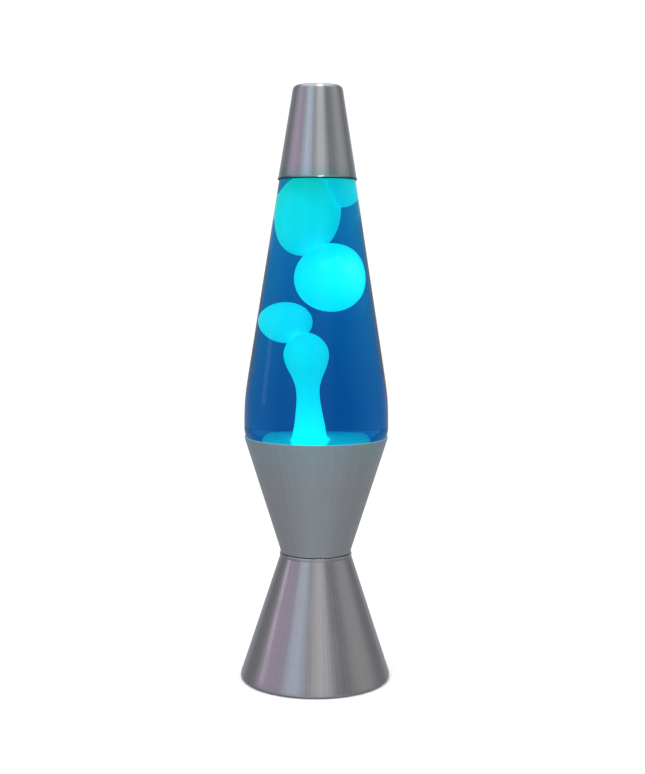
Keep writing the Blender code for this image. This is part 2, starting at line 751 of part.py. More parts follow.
def make_filament(parent, finish):
    """Two lead wires that rise beside the stem, and an arched filament between their tips."""
    tip = BULB_LEAD_REACH
    tip_z = BULB_LEAD_TOP_Z
    lead_radius = 0.35 * MM
    filament_radius = 0.4 * MM
    for number, side in enumerate((-1.0, 1.0), start=1):
        points = [
            (side * 2.6 * MM, 0.0, 70.5 * MM),
            (side * 2.8 * MM, 0.0, 80.0 * MM),
            (side * 5.0 * MM, 0.0, 86.0 * MM),
            (side * tip, 0.0, tip_z),
        ]
        wire(f"bulb_lead_{number}", points, lead_radius, finish, parent)
    arch = []
    for i in range(13):
        angle = math.pi * i / 12
        x = -(tip - 0.2 * MM) * math.cos(angle)
        y = -4.0 * MM * math.sin(angle)
        z = tip_z + lead_radius + filament_radius + 0.15 * MM + 1.5 * MM * math.sin(angle)
        arch.append((x, y, z))
    wire("bulb_filament", arch, filament_radius, finish, parent)


def make_bulb_base(carrier, finish_insulator, finish_tip):
    """The black glass insulator and the solder tip under the bulb's threaded shell."""
    insulator_radius = 7.2 * MM
    insulator = [
        (0.0, INSULATOR_LOW_Z),
        (0.0, INSULATOR_HIGH_Z),
        (insulator_radius, INSULATOR_HIGH_Z),
        (insulator_radius, INSULATOR_HIGH_Z - 0.7 * MM),
        (3.4 * MM, INSULATOR_LOW_Z),
    ]
    add_object("bulb_insulator", turned(insulator, MEDIUM), finish_insulator, carrier)
    tip_high = INSULATOR_LOW_Z - GAP
    tip = [
        (0.0, BULB_TIP_LOW_Z),
        (0.0, tip_high),
        (2.9 * MM, tip_high),
        (2.5 * MM, BULB_TIP_LOW_Z + 0.6 * MM),
        (1.2 * MM, BULB_TIP_LOW_Z + 0.1 * MM),
    ]
    add_object("bulb_tip", turned(tip, SMALL), finish_tip, carrier)


# ---------------------------------------------------------------- globe
def glass_side_outline():
    """Outer side of the globe from its bearing ring up to the cap's edge, rising with height."""
    wall_gap = SHELL_WALL + GAP + 0.1 * MM
    lower = [
        (funnel_outer_radius(height) - wall_gap, height)
        for height in (GLOBE_FLOOR_Z + 3.5 * MM, RIM_Z - 2.5 * MM)
    ]
    step = [(RIM_RADIUS - 1.4 * MM, RIM_Z), (GLASS_MAX_RADIUS - 0.5 * MM, RIM_Z + GAP + 0.1 * MM)]
    swell = []
    for i in range(6):
        share = i / 5
        height = RIM_Z + 1.6 * MM + (KINK_Z - RIM_Z - 1.6 * MM) * share
        rise = (height - GLASS_MAX_Z) / (KINK_Z - GLASS_MAX_Z)
        drop = (GLASS_MAX_RADIUS - KINK_RADIUS) * rise * abs(rise) ** 0.6 if rise > 0.0 else 0.0
        swell.append((GLASS_MAX_RADIUS - drop, height))
    return lower + step + swell + [(GLASS_AT_CAP_RADIUS, CAP_EDGE_Z)]


def glass_shoulder_outline():
    """Outer side hidden in the cap: shoulder, neck and crown finish."""
    return [
        (21.4 * MM, 320.0 * MM),
        (18.6 * MM, 326.5 * MM),
        (15.2 * MM, 331.5 * MM),
        (13.3 * MM, 336.0 * MM),
        (12.9 * MM, 342.5 * MM),
        (MOUTH_RADIUS, 344.0 * MM),
        (MOUTH_RADIUS, MOUTH_Z - 0.9 * MM),
        (MOUTH_RADIUS - 0.9 * MM, MOUTH_Z),
    ]


def glass_inner_outline():
    """Inner side of the globe from its floor to its mouth, rising with height."""
    wall = GLASS_WALL
    lower = [
        (26.0 * MM, GLOBE_FLOOR_Z + 4.0 * MM),
        (30.5 * MM, GLOBE_FLOOR_Z + 5.2 * MM),
    ]
    outer = glass_side_outline()
    side = [(radius - wall, height) for radius, height in (outer[1], outer[4], outer[7], *outer[-2:])]
    shoulder = [
        (18.9 * MM, 319.0 * MM),
        (16.0 * MM, 325.0 * MM),
        (12.4 * MM, 329.5 * MM),
        (MOUTH_BORE_RADIUS, 335.0 * MM),
        (MOUTH_BORE_RADIUS, MOUTH_Z),
    ]
    return lower + side + shoulder


def make_globe_glass(parent, finish):
    bearing = [
        (0.0, GLOBE_FLOOR_Z + 1.5 * MM),
        (25.0 * MM, GLOBE_FLOOR_Z + 1.3 * MM),
        (28.0 * MM, GLOBE_FLOOR_Z),
        (31.0 * MM, GLOBE_FLOOR_Z),
        (33.6 * MM, GLOBE_FLOOR_Z + 1.2 * MM),
    ]
    outer = bearing + glass_side_outline() + glass_shoulder_outline()
    inner = glass_inner_outline()
    outline = outer + inner[::-1] + [(0.0, GLOBE_FLOOR_Z + 4.0 * MM)]
    return add_object("globe_glass", turned(outline[::-1], FINE), finish, parent)


def make_crown_cap(parent, finish, finish_liner):
    """A fluted crown cap over the globe's mouth, and the liner that seals it."""
    liner_low = MOUTH_Z + GAP
    liner_top = liner_low + LINER_THICKNESS
    add_object("cap_liner", cylinder(LINER_RADIUS, liner_low, liner_top, MEDIUM), finish_liner, parent)
    under = liner_top + GAP
    top = under + CROWN_SHEET
    steps = CROWN_FLUTES * 3
    levels = [
        (11.5 * MM, top, 0.0),
        (13.4 * MM, top - 0.5 * MM, 0.0),
        (14.3 * MM, top - 1.7 * MM, 0.2 * MM),
        (15.0 * MM, top - 4.4 * MM, 0.6 * MM),
        (14.6 * MM, top - 4.5 * MM, 0.6 * MM),
        (13.95 * MM, top - 1.7 * MM, 0.2 * MM),
        (13.1 * MM, under - 0.3 * MM, 0.0),
        (11.4 * MM, under, 0.0),
    ]
    rings = []
    for radius, height, flute in levels:
        ring = []
        for i in range(steps):
            angle = 2.0 * math.pi * i / steps
            reach = radius + flute * math.cos(CROWN_FLUTES * angle)
            ring.append((reach * math.cos(angle), reach * math.sin(angle), height))
        rings.append(ring)
    add_object("crown_cap", rings_solid(rings), finish, parent)


def liquid_outline():
    """Up over the wax pool, down beside it, then up the globe's inner wall to the liquid's surface."""
    wall = glass_inner_outline()
    over_pool = [(radius * MM + 0.4 * MM, height * MM + GAP) for radius, height in reversed(POOL_SIDE)]
    low = over_pool[-1][1]
    high = LIQUID_SURFACE_Z
    side = [(radius - GAP, height) for radius, height in wall if low < height < high]
    return [
        (0.0, POOL_TOP_Z + GAP),
        *over_pool,
        (between(wall, low) - GAP, low),
        *side,
        (between(wall, high) - GAP, high),
        (0.0, high),
    ]


def blob_mesh(center, half, swell=0.0, down=0.0, up=0.0, steps=18, rings=10):
    """An ellipsoid, grown by swell and stretched to cover a vertical travel."""
    bm = bmesh.new()
    bmesh.ops.create_uvsphere(bm, u_segments=steps, v_segments=rings, radius=1.0)
    for vert in bm.verts:
        shift = up if vert.co.z > 0.01 else (-down if vert.co.z < -0.01 else (up - down) / 2.0)
        vert.co.x = center[0] + vert.co.x * (half[0] + swell)
        vert.co.y = center[1] + vert.co.y * (half[1] + swell)
        vert.co.z = center[2] + vert.co.z * (half[2] + swell) + shift
    return bm


def scaled(values):
    return tuple(value * MM for value in values)


def column_mesh(swell=0.0):
    """The wax column as a stack of rings with a rounded head, grown by swell."""
    rings = []
    for height, center_x, center_y, radius in COLUMN_LEVELS:
        level = height * MM
        if height == COLUMN_LEVELS[-1][0]:
            level += swell
        reach = radius * MM + swell
        ring = []
        for i in range(SMALL):
            angle = 2.0 * math.pi * i / SMALL
            x = center_x * MM + reach * math.cos(angle)
            y = center_y * MM + reach * math.sin(angle)
            ring.append((x, y, level))
        rings.append(ring)
    return rings_solid(rings)


def make_wax_pool(parent, finish):
    """The wax in the bottom of the globe, with a groove for the coil, and the column that rises from it."""
    wall = glass_inner_outline()
    floor = GLOBE_FLOOR_Z + 4.0 * MM + GAP
    corner_z = floor + 1.0 * MM
    side = [(radius * MM, height * MM) for radius, height in POOL_SIDE]
    shelf_z = side[0][1]
    groove_play = 0.8 * MM
    groove_in = COIL_RADIUS - COIL_TUBE_RADIUS - groove_play
    groove_out = COIL_RADIUS + COIL_TUBE_RADIUS + groove_play
    groove_top = floor + 2.0 * COIL_TUBE_RADIUS + 1.4 * MM
    outline = [
        (0.0, floor),
        (groove_in, floor),
        (groove_in, groove_top),
        (groove_out, groove_top),
        (groove_out, corner_z),
        (between(wall, corner_z) - GAP, corner_z),
        (between(wall, shelf_z) - GAP, shelf_z),
        *side,
        (0.0, POOL_TOP_Z),
    ]
    pool = add_object("wax_pool", turned(outline[::-1], FINE), finish, parent)
    boolean(pool, add_object("guide_wax_column", column_mesh()), "UNION")
    return pool


def make_heating_coil(parent, finish):
    """A ring-shaped spring on the globe's floor, drawn as one closed winding wire."""
    points_per_turn = 7
    center_z = GLOBE_FLOOR_Z + 4.0 * MM + GAP + COIL_TUBE_RADIUS + COIL_WIRE_RADIUS + 0.2 * MM
    count = COIL_TURNS * points_per_turn
    sides = 4
    rings = []
    path = []
    for i in range(count):
        around = 2.0 * math.pi * i / count
        turn = 2.0 * math.pi * i / points_per_turn
        reach = COIL_RADIUS + COIL_TUBE_RADIUS * math.cos(turn)
        level = center_z + COIL_TUBE_RADIUS * math.sin(turn)
        path.append(Vector((reach * math.cos(around), reach * math.sin(around), level)))
    for i in range(count):
        around = 2.0 * math.pi * i / count
        tangent = (path[(i + 1) % count] - path[i - 1]).normalized()
        heart = Vector((COIL_RADIUS * math.cos(around), COIL_RADIUS * math.sin(around), center_z))
        outward = path[i] - heart
        outward = (outward - tangent * outward.dot(tangent)).normalized()
        sideways = tangent.cross(outward)
        ring = []
        for k in range(sides):
            angle = 2.0 * math.pi * k / sides
            spoke = outward * math.cos(angle) + sideways * math.sin(angle)
            ring.append(path[i] + COIL_WIRE_RADIUS * spoke)
        rings.append(ring)
    bm = bmesh.new()
    rows = [[bm.verts.new(point) for point in ring] for ring in rings]
    for row, following in zip(rows, rows[1:] + rows[:1]):
        for k in range(sides):
            j = (k + 1) % sides
            bm.faces.new((row[k], row[j], following[j], following[k]))
    return add_object("heating_coil", bm, finish, parent)


def make_liquid(parent, finish):
    """The liquid, with room for the wax column and for each blob's travel."""
    liquid = add_object("liquid", turned(liquid_outline()[::-1], FINE), finish, parent)
    boolean(liquid, add_object("guide_column_room", column_mesh(COLUMN_ROOM)))
    for name, (center, half, (down, up)) in WAX_BLOBS.items():
        room = blob_mesh(scaled(center), scaled(half), BLOB_ROOM, down * MM, up * MM, steps=12, rings=8)
        boolean(liquid, add_object(f"guide_room_{name}", room))
    for number, (low, high, x, y) in enumerate(LIQUID_DUCTS, start=1):
        duct = cylinder(DUCT_RADIUS, low * MM, high * MM, 8, at=(x * MM, y * MM))
        boolean(liquid, add_object(f"guide_duct_{number}", duct))
    return liquid


def make_wax_blobs(parents, finish):
    for name, (center, half, _) in WAX_BLOBS.items():
        bm = blob_mesh(scaled(center), scaled(half))
        add_object(name, bm, finish, parents[name], origin=scaled(center))


# ---------------------------------------------------------------- top cap
def make_top_cap(parent, finish):
    slope = (CAP_EDGE_RADIUS - CAP_TOP_RADIUS) / (TOTAL_HEIGHT - CAP_EDGE_Z)
    lean = math.degrees(math.atan(slope))
    corner_z = TOTAL_HEIGHT - CAP_CORNER_RADIUS
    corner_r = CAP_TOP_RADIUS - CAP_CORNER_RADIUS / math.cos(math.radians(lean)) * 0.9
    corner = arc((corner_r, corner_z), CAP_CORNER_RADIUS, 90.0, lean, 5)
    inner_corner = arc((corner_r, corner_z), CAP_CORNER_RADIUS - CAP_WALL, lean, 90.0, 4)
    hem = 0.25 * MM
    outline = [
        (0.0, TOTAL_HEIGHT),
        *corner,
        (CAP_EDGE_RADIUS - slope * 1.4 * MM, CAP_EDGE_Z + 1.4 * MM),
        (CAP_EDGE_RADIUS + hem, CAP_EDGE_Z + 1.0 * MM),
        (CAP_EDGE_RADIUS + hem, CAP_EDGE_Z + 0.3 * MM),
        (CAP_EDGE_RADIUS, CAP_EDGE_Z),
        (CAP_EDGE_RADIUS - CAP_WALL, CAP_EDGE_Z),
        *inner_corner,
        (0.0, TOTAL_HEIGHT - CAP_WALL),
    ]
    return add_object("top_cap", turned(outline, FINE), finish, parent)


# ---------------------------------------------------------------- assembly
def build():
    clear_scene()
    finish = make_materials()
    base = empty("joint_base", (0.0, 0.0, 0.0))
    cone = make_lower_cone(base, finish["brushed_aluminium"])
    funnel = make_upper_funnel(base, finish["satin_silver"])
    bracket = make_socket_bracket(base, finish["zinc_steel"])
    make_waist_holes(cone, funnel, bracket)
    make_bottom_plate(base, finish["black_plastic"])
    make_feet(base, finish["black_rubber"])
    make_cord_grommet(base, finish["black_rubber"])
    make_waist_fasteners(base, finish["zinc_steel"])
    make_nipple_and_nut(base, finish["zinc_steel"])
    make_socket_body(base, finish["bakelite"])
    make_socket_contact(base, finish["brass"])
    make_socket_shell(base, finish["brass"])

    bulb_carrier = empty("joint_bulb_travel", (0.0, 0.0, 0.0), base)
    bulb = empty("joint_bulb_unscrew", (0.0, 0.0, 0.0), bulb_carrier)
    make_bulb_base(bulb_carrier, finish["black_glass"], finish["solder"])
    bulb_shell = threaded_sleeve(BULB_CREST_RADIUS, BULB_SHELL_WALL, BULB_SHELL_LOW_Z, BULB_SHELL_HIGH_Z)
    add_object("bulb_shell", bulb_shell, finish["brass"], bulb)
    make_bulb_envelope(bulb, finish["bulb_glass"])
    make_bulb_stem(bulb, finish["bulb_glass"])
    make_filament(bulb, finish["tungsten"])

    globe = empty("joint_globe_lift", (0.0, 0.0, 0.0), base)
    make_globe_glass(globe, finish["clear_glass"])
    make_liquid(globe, finish["blue_liquid"])
    make_wax_pool(globe, finish["cyan_wax"])
    make_heating_coil(globe, finish["zinc_steel"])
    make_crown_cap(globe, finish["crown_tinplate"], finish["liner_white"])
    upper = empty("joint_wax_upper", (0.0, 0.0, 0.0), globe)
    big = empty("joint_wax_big", (0.0, 0.0, 0.0), globe)
    small = empty("joint_wax_small", (0.0, 0.0, 0.0), globe)
    make_wax_blobs(
        {"wax_blob_top": upper, "wax_blob_rear": upper, "wax_blob_big": big, "wax_blob_small": small},
        finish["cyan_wax"],
    )

    cap = empty("joint_cap_lift", (0.0, 0.0, 0.0), globe)
    make_top_cap(cap, finish["brushed_aluminium"])


build()
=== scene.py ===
"""Lava lamp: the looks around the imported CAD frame.

The shells, the globe, the wax and most small parts are made again at a fine resolution in place of their
CAD nodes, and each piece gets a procedural material. Metres, +Z up, front towards -Y.
"""

from math import atan2, cos, exp, hypot, log, pi, radians, sin

import bmesh
import bpy
from mathutils import Matrix, Vector


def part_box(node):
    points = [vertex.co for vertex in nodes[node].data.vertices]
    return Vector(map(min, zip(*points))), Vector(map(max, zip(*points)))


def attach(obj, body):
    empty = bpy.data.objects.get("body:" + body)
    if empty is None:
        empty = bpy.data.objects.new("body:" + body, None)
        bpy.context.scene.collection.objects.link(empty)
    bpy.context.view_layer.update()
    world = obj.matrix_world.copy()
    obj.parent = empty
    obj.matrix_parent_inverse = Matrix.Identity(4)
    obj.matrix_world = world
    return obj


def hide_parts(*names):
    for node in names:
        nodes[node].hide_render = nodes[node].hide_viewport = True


MM = 0.001
TURN = 2.0 * pi
FINE = 160  # steps round the large shells
MEDIUM = 64  # steps round the small parts

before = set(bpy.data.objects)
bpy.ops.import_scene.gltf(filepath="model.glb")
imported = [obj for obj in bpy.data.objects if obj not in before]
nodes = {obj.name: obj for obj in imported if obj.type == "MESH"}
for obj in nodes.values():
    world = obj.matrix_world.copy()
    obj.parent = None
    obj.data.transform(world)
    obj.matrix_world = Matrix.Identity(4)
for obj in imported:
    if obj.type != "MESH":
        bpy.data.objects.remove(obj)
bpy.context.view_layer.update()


# ---- sizes and places
cap_low, cap_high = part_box("top_cap")
glass_low, glass_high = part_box("globe_glass")
funnel_low, funnel_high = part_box("upper_funnel")
cone_low, cone_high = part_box("lower_cone")
LIQUID_TOP_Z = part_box("liquid")[1].z

# the shells of the base, and the cap's edge
BASE_RADIUS = cone_high.x
WALL = 0.85 * MM
FLANGE_BORE = 15.6 * MM
CONE_TOP_RADIUS = 21.9 * MM
CONE_SHOULDER_RADIUS = 22.3 * MM
WAIST_Z = 82.0 * MM
WAIST_RADIUS = 22.2 * MM
RIM_Z = funnel_high.z
# height below the rim over which a painted teal glow of the lit globe fades in
RIM_PAINTED_GLOW_HEIGHT = 26.0 * MM
CAP_EDGE_Z = cap_low.z
CAP_EDGE_PAINTED_GLOW_AND_SHADE = (
    # mm above the cap's edge where each painted mark starts and where it is full, its share there, its
    # colour: a painted teal glow of the lit globe, painted shade on the hem, painted shade on the very edge
    (9.0, 0.0, 0.75, (0.42, 0.80, 0.78)),
    (2.0, 1.1, 0.8, (0.16, 0.25, 0.25)),
    (0.9, 0.5, 1.0, (0.03, 0.06, 0.06)),
)

# the globe
GLASS_AT_CAP = 23.4 * MM
GLASS_MAX = glass_high.x
GLASS_SLOPE = 0.1585
GLASS_WALL = 2.5 * MM
GLASS_GAP = 0.45 * MM
GLOBE_FLOOR_Z = glass_low.z + 4.0 * MM
SWELL_SOFTNESS = 0.7 * MM
TUCK_Z = RIM_Z + 6.5 * MM
TUCK_DEPTH = 1.0 * MM
GLASS_INDEX = 1.44
LIQUID_INDEX = 1.333

# the wax
COLUMN = (
    # height, centre x, centre y, radius (mm); the foot leans forward out of the pool
    (146.0, -3.0, -19.2, 12.0),
    (150.0, -3.2, -19.8, 11.2),
    (154.0, -3.4, -19.0, 9.6),
    (158.0, -3.5, -17.6, 8.7),
    (163.0, -3.4, -15.6, 7.8),
    (170.0, -3.7, -12.8, 6.7),
    (178.0, -4.05, -10.0, 5.8),
    (184.5, -4.35, -8.2, 6.0),
    (190.5, -4.6, -7.0, 7.6),
    (196.5, -4.9, -6.3, 9.8),
    (203.0, -5.1, -6.0, 11.1),
    (208.5, -5.1, -6.0, 10.3),
    (213.0, -5.1, -6.0, 7.8),
    (216.2, -5.1, -6.0, 4.2),
    (217.5, -5.1, -6.0, 0.6),
)
POOL = (
    # radius, height (mm) of the mound of wax that the column rises out of, with the coil's groove below
    (0.0, 127.3),
    (18.2, 127.3),
    (18.2, 134.7),
    (25.8, 134.7),
    (25.8, 127.8),
    (29.8, 128.6),
    (31.6, 132.0),
    (32.4, 138.0),
    (31.8, 146.0),
    (29.6, 150.0),
    (27.6, 152.6),
    (24.4, 154.7),
    (19.0, 155.8),
    (11.0, 156.1),
    (0.0, 156.2),
)
# painted glow of the column at its top and at its bottom, which stands for the bulb's light, and the heights
# between which it changes
COLUMN_GLOW = ((0.0, 1.0, 0.82), (0.0, 1.32, 1.08))
COLUMN_GLOW_HEIGHTS = (165.0 * MM, 195.0 * MM)
# dimmer painted glow on the pool, and the reach and heights where it shows
POOL_GLOW = (0.0, 0.42, 0.41)
POOL_GLOW_RADII = (9.5 * MM, 11.0 * MM)
POOL_GLOW_HEIGHTS = (156.4 * MM, 157.0 * MM)
BLOBS = {
    # name: (centre mm, half sizes mm, lumps: direction, size mm, tightness), body
    "wax_blob_top": (
        (-3.4, 6.5, 289.5),
        (13.8, 13.5, 24.6),
        (
            ((-0.60, -0.1, -0.75), 3.4, 5.0),
            ((-0.75, 0.0, 0.60), 0.2, 6.0),
            ((0.8, -0.2, -0.5), -0.8, 3.0),
        ),
        "wax_upper",
    ),
    "wax_blob_rear": (
        (10.5, 5.5, 304.4),
        (8.3, 6.0, 10.6),
        (((0.2, 0.0, -1.0), 0.3, 2.0), ((0.4, 0.3, 1.0), -1.0, 3.0)),
        "wax_upper",
    ),
    "wax_blob_big": (
        (7.2, -9.5, 251.2),
        (19.0, 15.5, 20.8),
        (((0.85, -0.1, 0.4), 0.7, 3.0), ((-0.7, -0.2, 0.6), -0.6, 3.0)),
        "wax_big",
    ),
    "wax_blob_small": (
        (-13.4, 9.0, 222.2),
        (11.2, 11.3, 12.6),
        (((0.7, -0.2, 0.3), 0.5, 2.5), ((-0.7, 0.0, -0.6), 0.3, 2.5)),
        "wax_small",
    ),
}
BLOB_GLOW = {
    # name: painted glow at its top, painted glow at its bottom, which stand for the bulb's light
    "wax_blob_top": ((0.0, 0.80, 0.57), (0.0, 0.94, 0.72)),
    "wax_blob_rear": ((0.0, 0.77, 0.65), (0.0, 0.70, 0.66)),
    "wax_blob_big": ((0.0, 0.85, 0.86), (0.0, 0.98, 0.92)),
    "wax_blob_small": ((0.0, 1.17, 0.92), (0.0, 1.10, 0.90)),
}

# small parts
GROMMET_HOLE_RADIUS = 4.2 * MM
FOOT_RADIUS = 5.0 * MM
FOOT_RING_RADIUS = 35.0 * MM
THREAD_PITCH = 2.82 * MM
THREAD_DEPTH = 0.7 * MM
BULB_CREST_RADIUS = 8.3 * MM
CLEARANCE = 0.3 * MM
CROWN_FLUTES = 21
SPRING_TURNS = 20
FILAMENT_TURNS = 46

# camera, from a fit of the lamp's outline to the photo's: metres, radians and the lens in mm
CAMERA_DISTANCE = 0.836
CAMERA_HEIGHT = 0.2637
CAMERA_TILT = 0.095
CAMERA_YAW = -0.0045
CAMERA_ROLL = 0.0051
CAMERA_LENS = 62.86

# studio
LIGHTS = (
    # name, azimuth, distance, height, size, energy, colour, whether reflections show it
    ("key_softbox", -40.0, 0.7, 1.0, (0.6, 0.6), 4.0, (0.94, 0.97, 1.0), False),
    ("fill_softbox", 60.0, 1.0, 0.7, (0.6, 0.8), 2.0, (1.0, 0.98, 0.95), False),
    ("top_strip", 18.0, 0.35, 1.2, (0.16, 0.3), 1.2, (1.0, 1.0, 1.0), True),
    ("side_strip", -92.0, 1.0, 0.27, (0.16, 0.20), 0.06, (0.9, 0.95, 1.0), True),
)
DARK_SURROUND = (0.17, 0.17, 0.18)
DARK_GROUND = (0.15, 0.155, 0.17)
SOFT_STRIPS = (
    # azimuth in degrees from the camera, positive to its right, half width in degrees, colour
    (180, 46, (0.36, 0.38, 0.42)),
    (85, 30, (0.30, 0.30, 0.30)),
    (-80, 32, (0.36, 0.30, 0.38)),
    (-35, 25, (0.45, 0.50, 0.60)),
    (10, 25, (0.45, 0.45, 0.45)),
)
GROUND_STRIPS = (
    # the same for the light that comes back from below the horizon
    (180, 55, (0.36, 0.38, 0.42)),
    (0, 85, (0.30, 0.34, 0.38)),
)
STUDIO_CEILING = (0.75, 0.76, 0.78)
SEEN_THROUGH_LIQUID = (0.33, 0.36, 0.57)
GLASS_WALL_CROSSINGS = 4  # faces of glass on the way through the globe above the liquid


# ---- mesh helpers
def add_object(name, data):
    """A new object in the scene with this mesh, camera or light."""
    made = bpy.data.objects.new(name, data)
    bpy.context.scene.collection.objects.link(made)
    return made


def mesh_from(name, bm):
    """A mesh from a bmesh, which is used up."""
    mesh = bpy.data.meshes.new(name)
    bm.to_mesh(mesh)
    bm.free()
    return mesh


def finish_piece(name, bm, body, replaced, finish, sharp=40.0):
    """Make an object from a bmesh, let it ride on a body and stand for CAD nodes."""
    bmesh.ops.recalc_face_normals(bm, faces=bm.faces)
    mesh = mesh_from(name, bm)
    mesh.shade_smooth()
    if sharp:
        mesh.set_sharp_from_angle(angle=radians(sharp))
    mesh.materials.append(finish)
    piece = add_object(name, mesh)
    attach(piece, body)
    if replaced:
        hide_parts(*replaced)
    return piece


def full_turn(steps):
    """Angles of a full turn in equal steps."""
    return [TURN * i / steps for i in range(steps)]


def polar(radius, angle, height):
    return radius * cos(angle), radius * sin(angle), height


def heights(low, high, steps):
    return [low + (high - low) * i / steps for i in range(steps + 1)]


def straight(low_z, low_r, high_z, high_r, height):
    """Radius at a height on the straight side through two places."""
    return low_r + (high_r - low_r) * (height - low_z) / (high_z - low_z)


def turned(outline, steps=FINE):
    """Spin a closed (radius, height) outline round +Z."""
    bm = bmesh.new()
    ring = [bm.verts.new((radius, 0.0, height)) for radius, height in outline]
    count = len(ring)
    sides = [
        bm.edges.new((ring[i], ring[(i + 1) % count]))
        for i in range(count)
        if outline[i][0] > 0.0 or outline[(i + 1) % count][0] > 0.0
    ]
    bmesh.ops.spin(
        bm,
        geom=ring + sides,
        cent=(0.0, 0.0, 0.0),
        axis=(0.0, 0.0, 1.0),
        angle=TURN,
        steps=steps,
        use_merge=True,
    )
    bmesh.ops.remove_doubles(bm, verts=bm.verts, dist=1e-6)
    return bm


def temporary_object(bm):
    bmesh.ops.recalc_face_normals(bm, faces=bm.faces)
    return add_object("temporary", mesh_from("temporary", bm))


def carve(bm, *tools):
    """Cut the tools' volumes out of a bmesh; all of them are used up, and a new bmesh comes back."""
    target = temporary_object(bm)
    cutters = [temporary_object(tool) for tool in tools]
    for cutter in cutters:
        modifier = target.modifiers.new("cut", "BOOLEAN")
        modifier.operation = "DIFFERENCE"
        modifier.solver = "EXACT"
        modifier.object = cutter
    carved = bmesh.new()
    carved.from_object(target, bpy.context.evaluated_depsgraph_get())
    for leftover in [target, *cutters]:
        mesh = leftover.data
        bpy.data.objects.remove(leftover)
        bpy.data.meshes.remove(mesh)
    return carved


def moved(bm, matrix):
    bmesh.ops.transform(bm, matrix=matrix, verts=bm.verts)
    return bm


def rod(radius, low, high):
    return turned([(0.0, low), (radius, low), (radius, high), (0.0, high)], MEDIUM)


def tube_along(path, radius, sides, closed=False):
    """A round wire through points, with a flat face at each end unless it closes on itself."""
    count = len(path)
    rings = []
    side = Vector((0.0, 0.0, 1.0))
    for i, point in enumerate(path):
        ahead = path[(i + 1) % count] if closed or i + 1 < count else point
        behind = path[i - 1] if closed or i else point
        along = (ahead - behind).normalized()
        side = (side - along * side.dot(along)).normalized()
        across = along.cross(side)
        rings.append([point + radius * (side * cos(a) + across * sin(a)) for a in full_turn(sides)])
    if not closed:
        return loft(rings)
    return loft(rings + [rings[0]], ends=False)


def rounded(*points, steps=5):
    """Round the corners of a (radius, height, reach of the rounding) outline with short curves."""
    result = []
    count = len(points)
    for i, (radius, height, corner) in enumerate(points):
        here = Vector((radius, height))
        if corner <= 0.0:
            result.append((radius, height))
            continue
        before = Vector(points[i - 1][:2]) - here
        after = Vector(points[(i + 1) % count][:2]) - here
        reach = min(corner, before.length * 0.48, after.length * 0.48)
        start = here + before.normalized() * reach
        end = here + after.normalized() * reach
        for k in range(steps + 1):
            t = k / steps
            point = start * (1 - t) ** 2 + here * 2 * t * (1 - t) + end * t ** 2
            result.append((max(point.x, 0.0), point.y))
    return result


def loft(rings, ends=True):
    """Join rings of equal point counts into a skin, with one face over each end."""
    bm = bmesh.new()
    rows = [[bm.verts.new(point) for point in ring] for ring in rings]
    count = len(rows[0])
    for lower, upper in zip(rows, rows[1:]):
        for i in range(count):
            j = (i + 1) % count
            bm.faces.new((lower[i], lower[j], upper[j], upper[i]))
    if ends:
        bm.faces.new(rows[0][::-1])
        bm.faces.new(rows[-1])
    return bm


def spline_value(points, height):
    """Smooth curve through a rising list of (height, value), which stays level past its ends."""
    if height <= points[0][0]:
        return points[0][1]
    if height >= points[-1][0]:
        return points[-1][1]
    i = next(k for k in range(len(points) - 1) if height <= points[k + 1][0])
    (low, start), (high, end) = points[i], points[i + 1]
    before = points[max(i - 1, 0)]
    after = points[min(i + 2, len(points) - 1)]
    span = high - low
    slope_low = (end - before[1]) / (high - before[0]) * span
    slope_high = (after[1] - start) / (after[0] - low) * span
    t = (height - low) / span
    t2, t3 = t * t, t * t * t
    return (
        (2 * t3 - 3 * t2 + 1) * start
        + (t3 - 2 * t2 + t) * slope_low
        + (-2 * t3 + 3 * t2) * end
        + (t3 - t2) * slope_high
    )


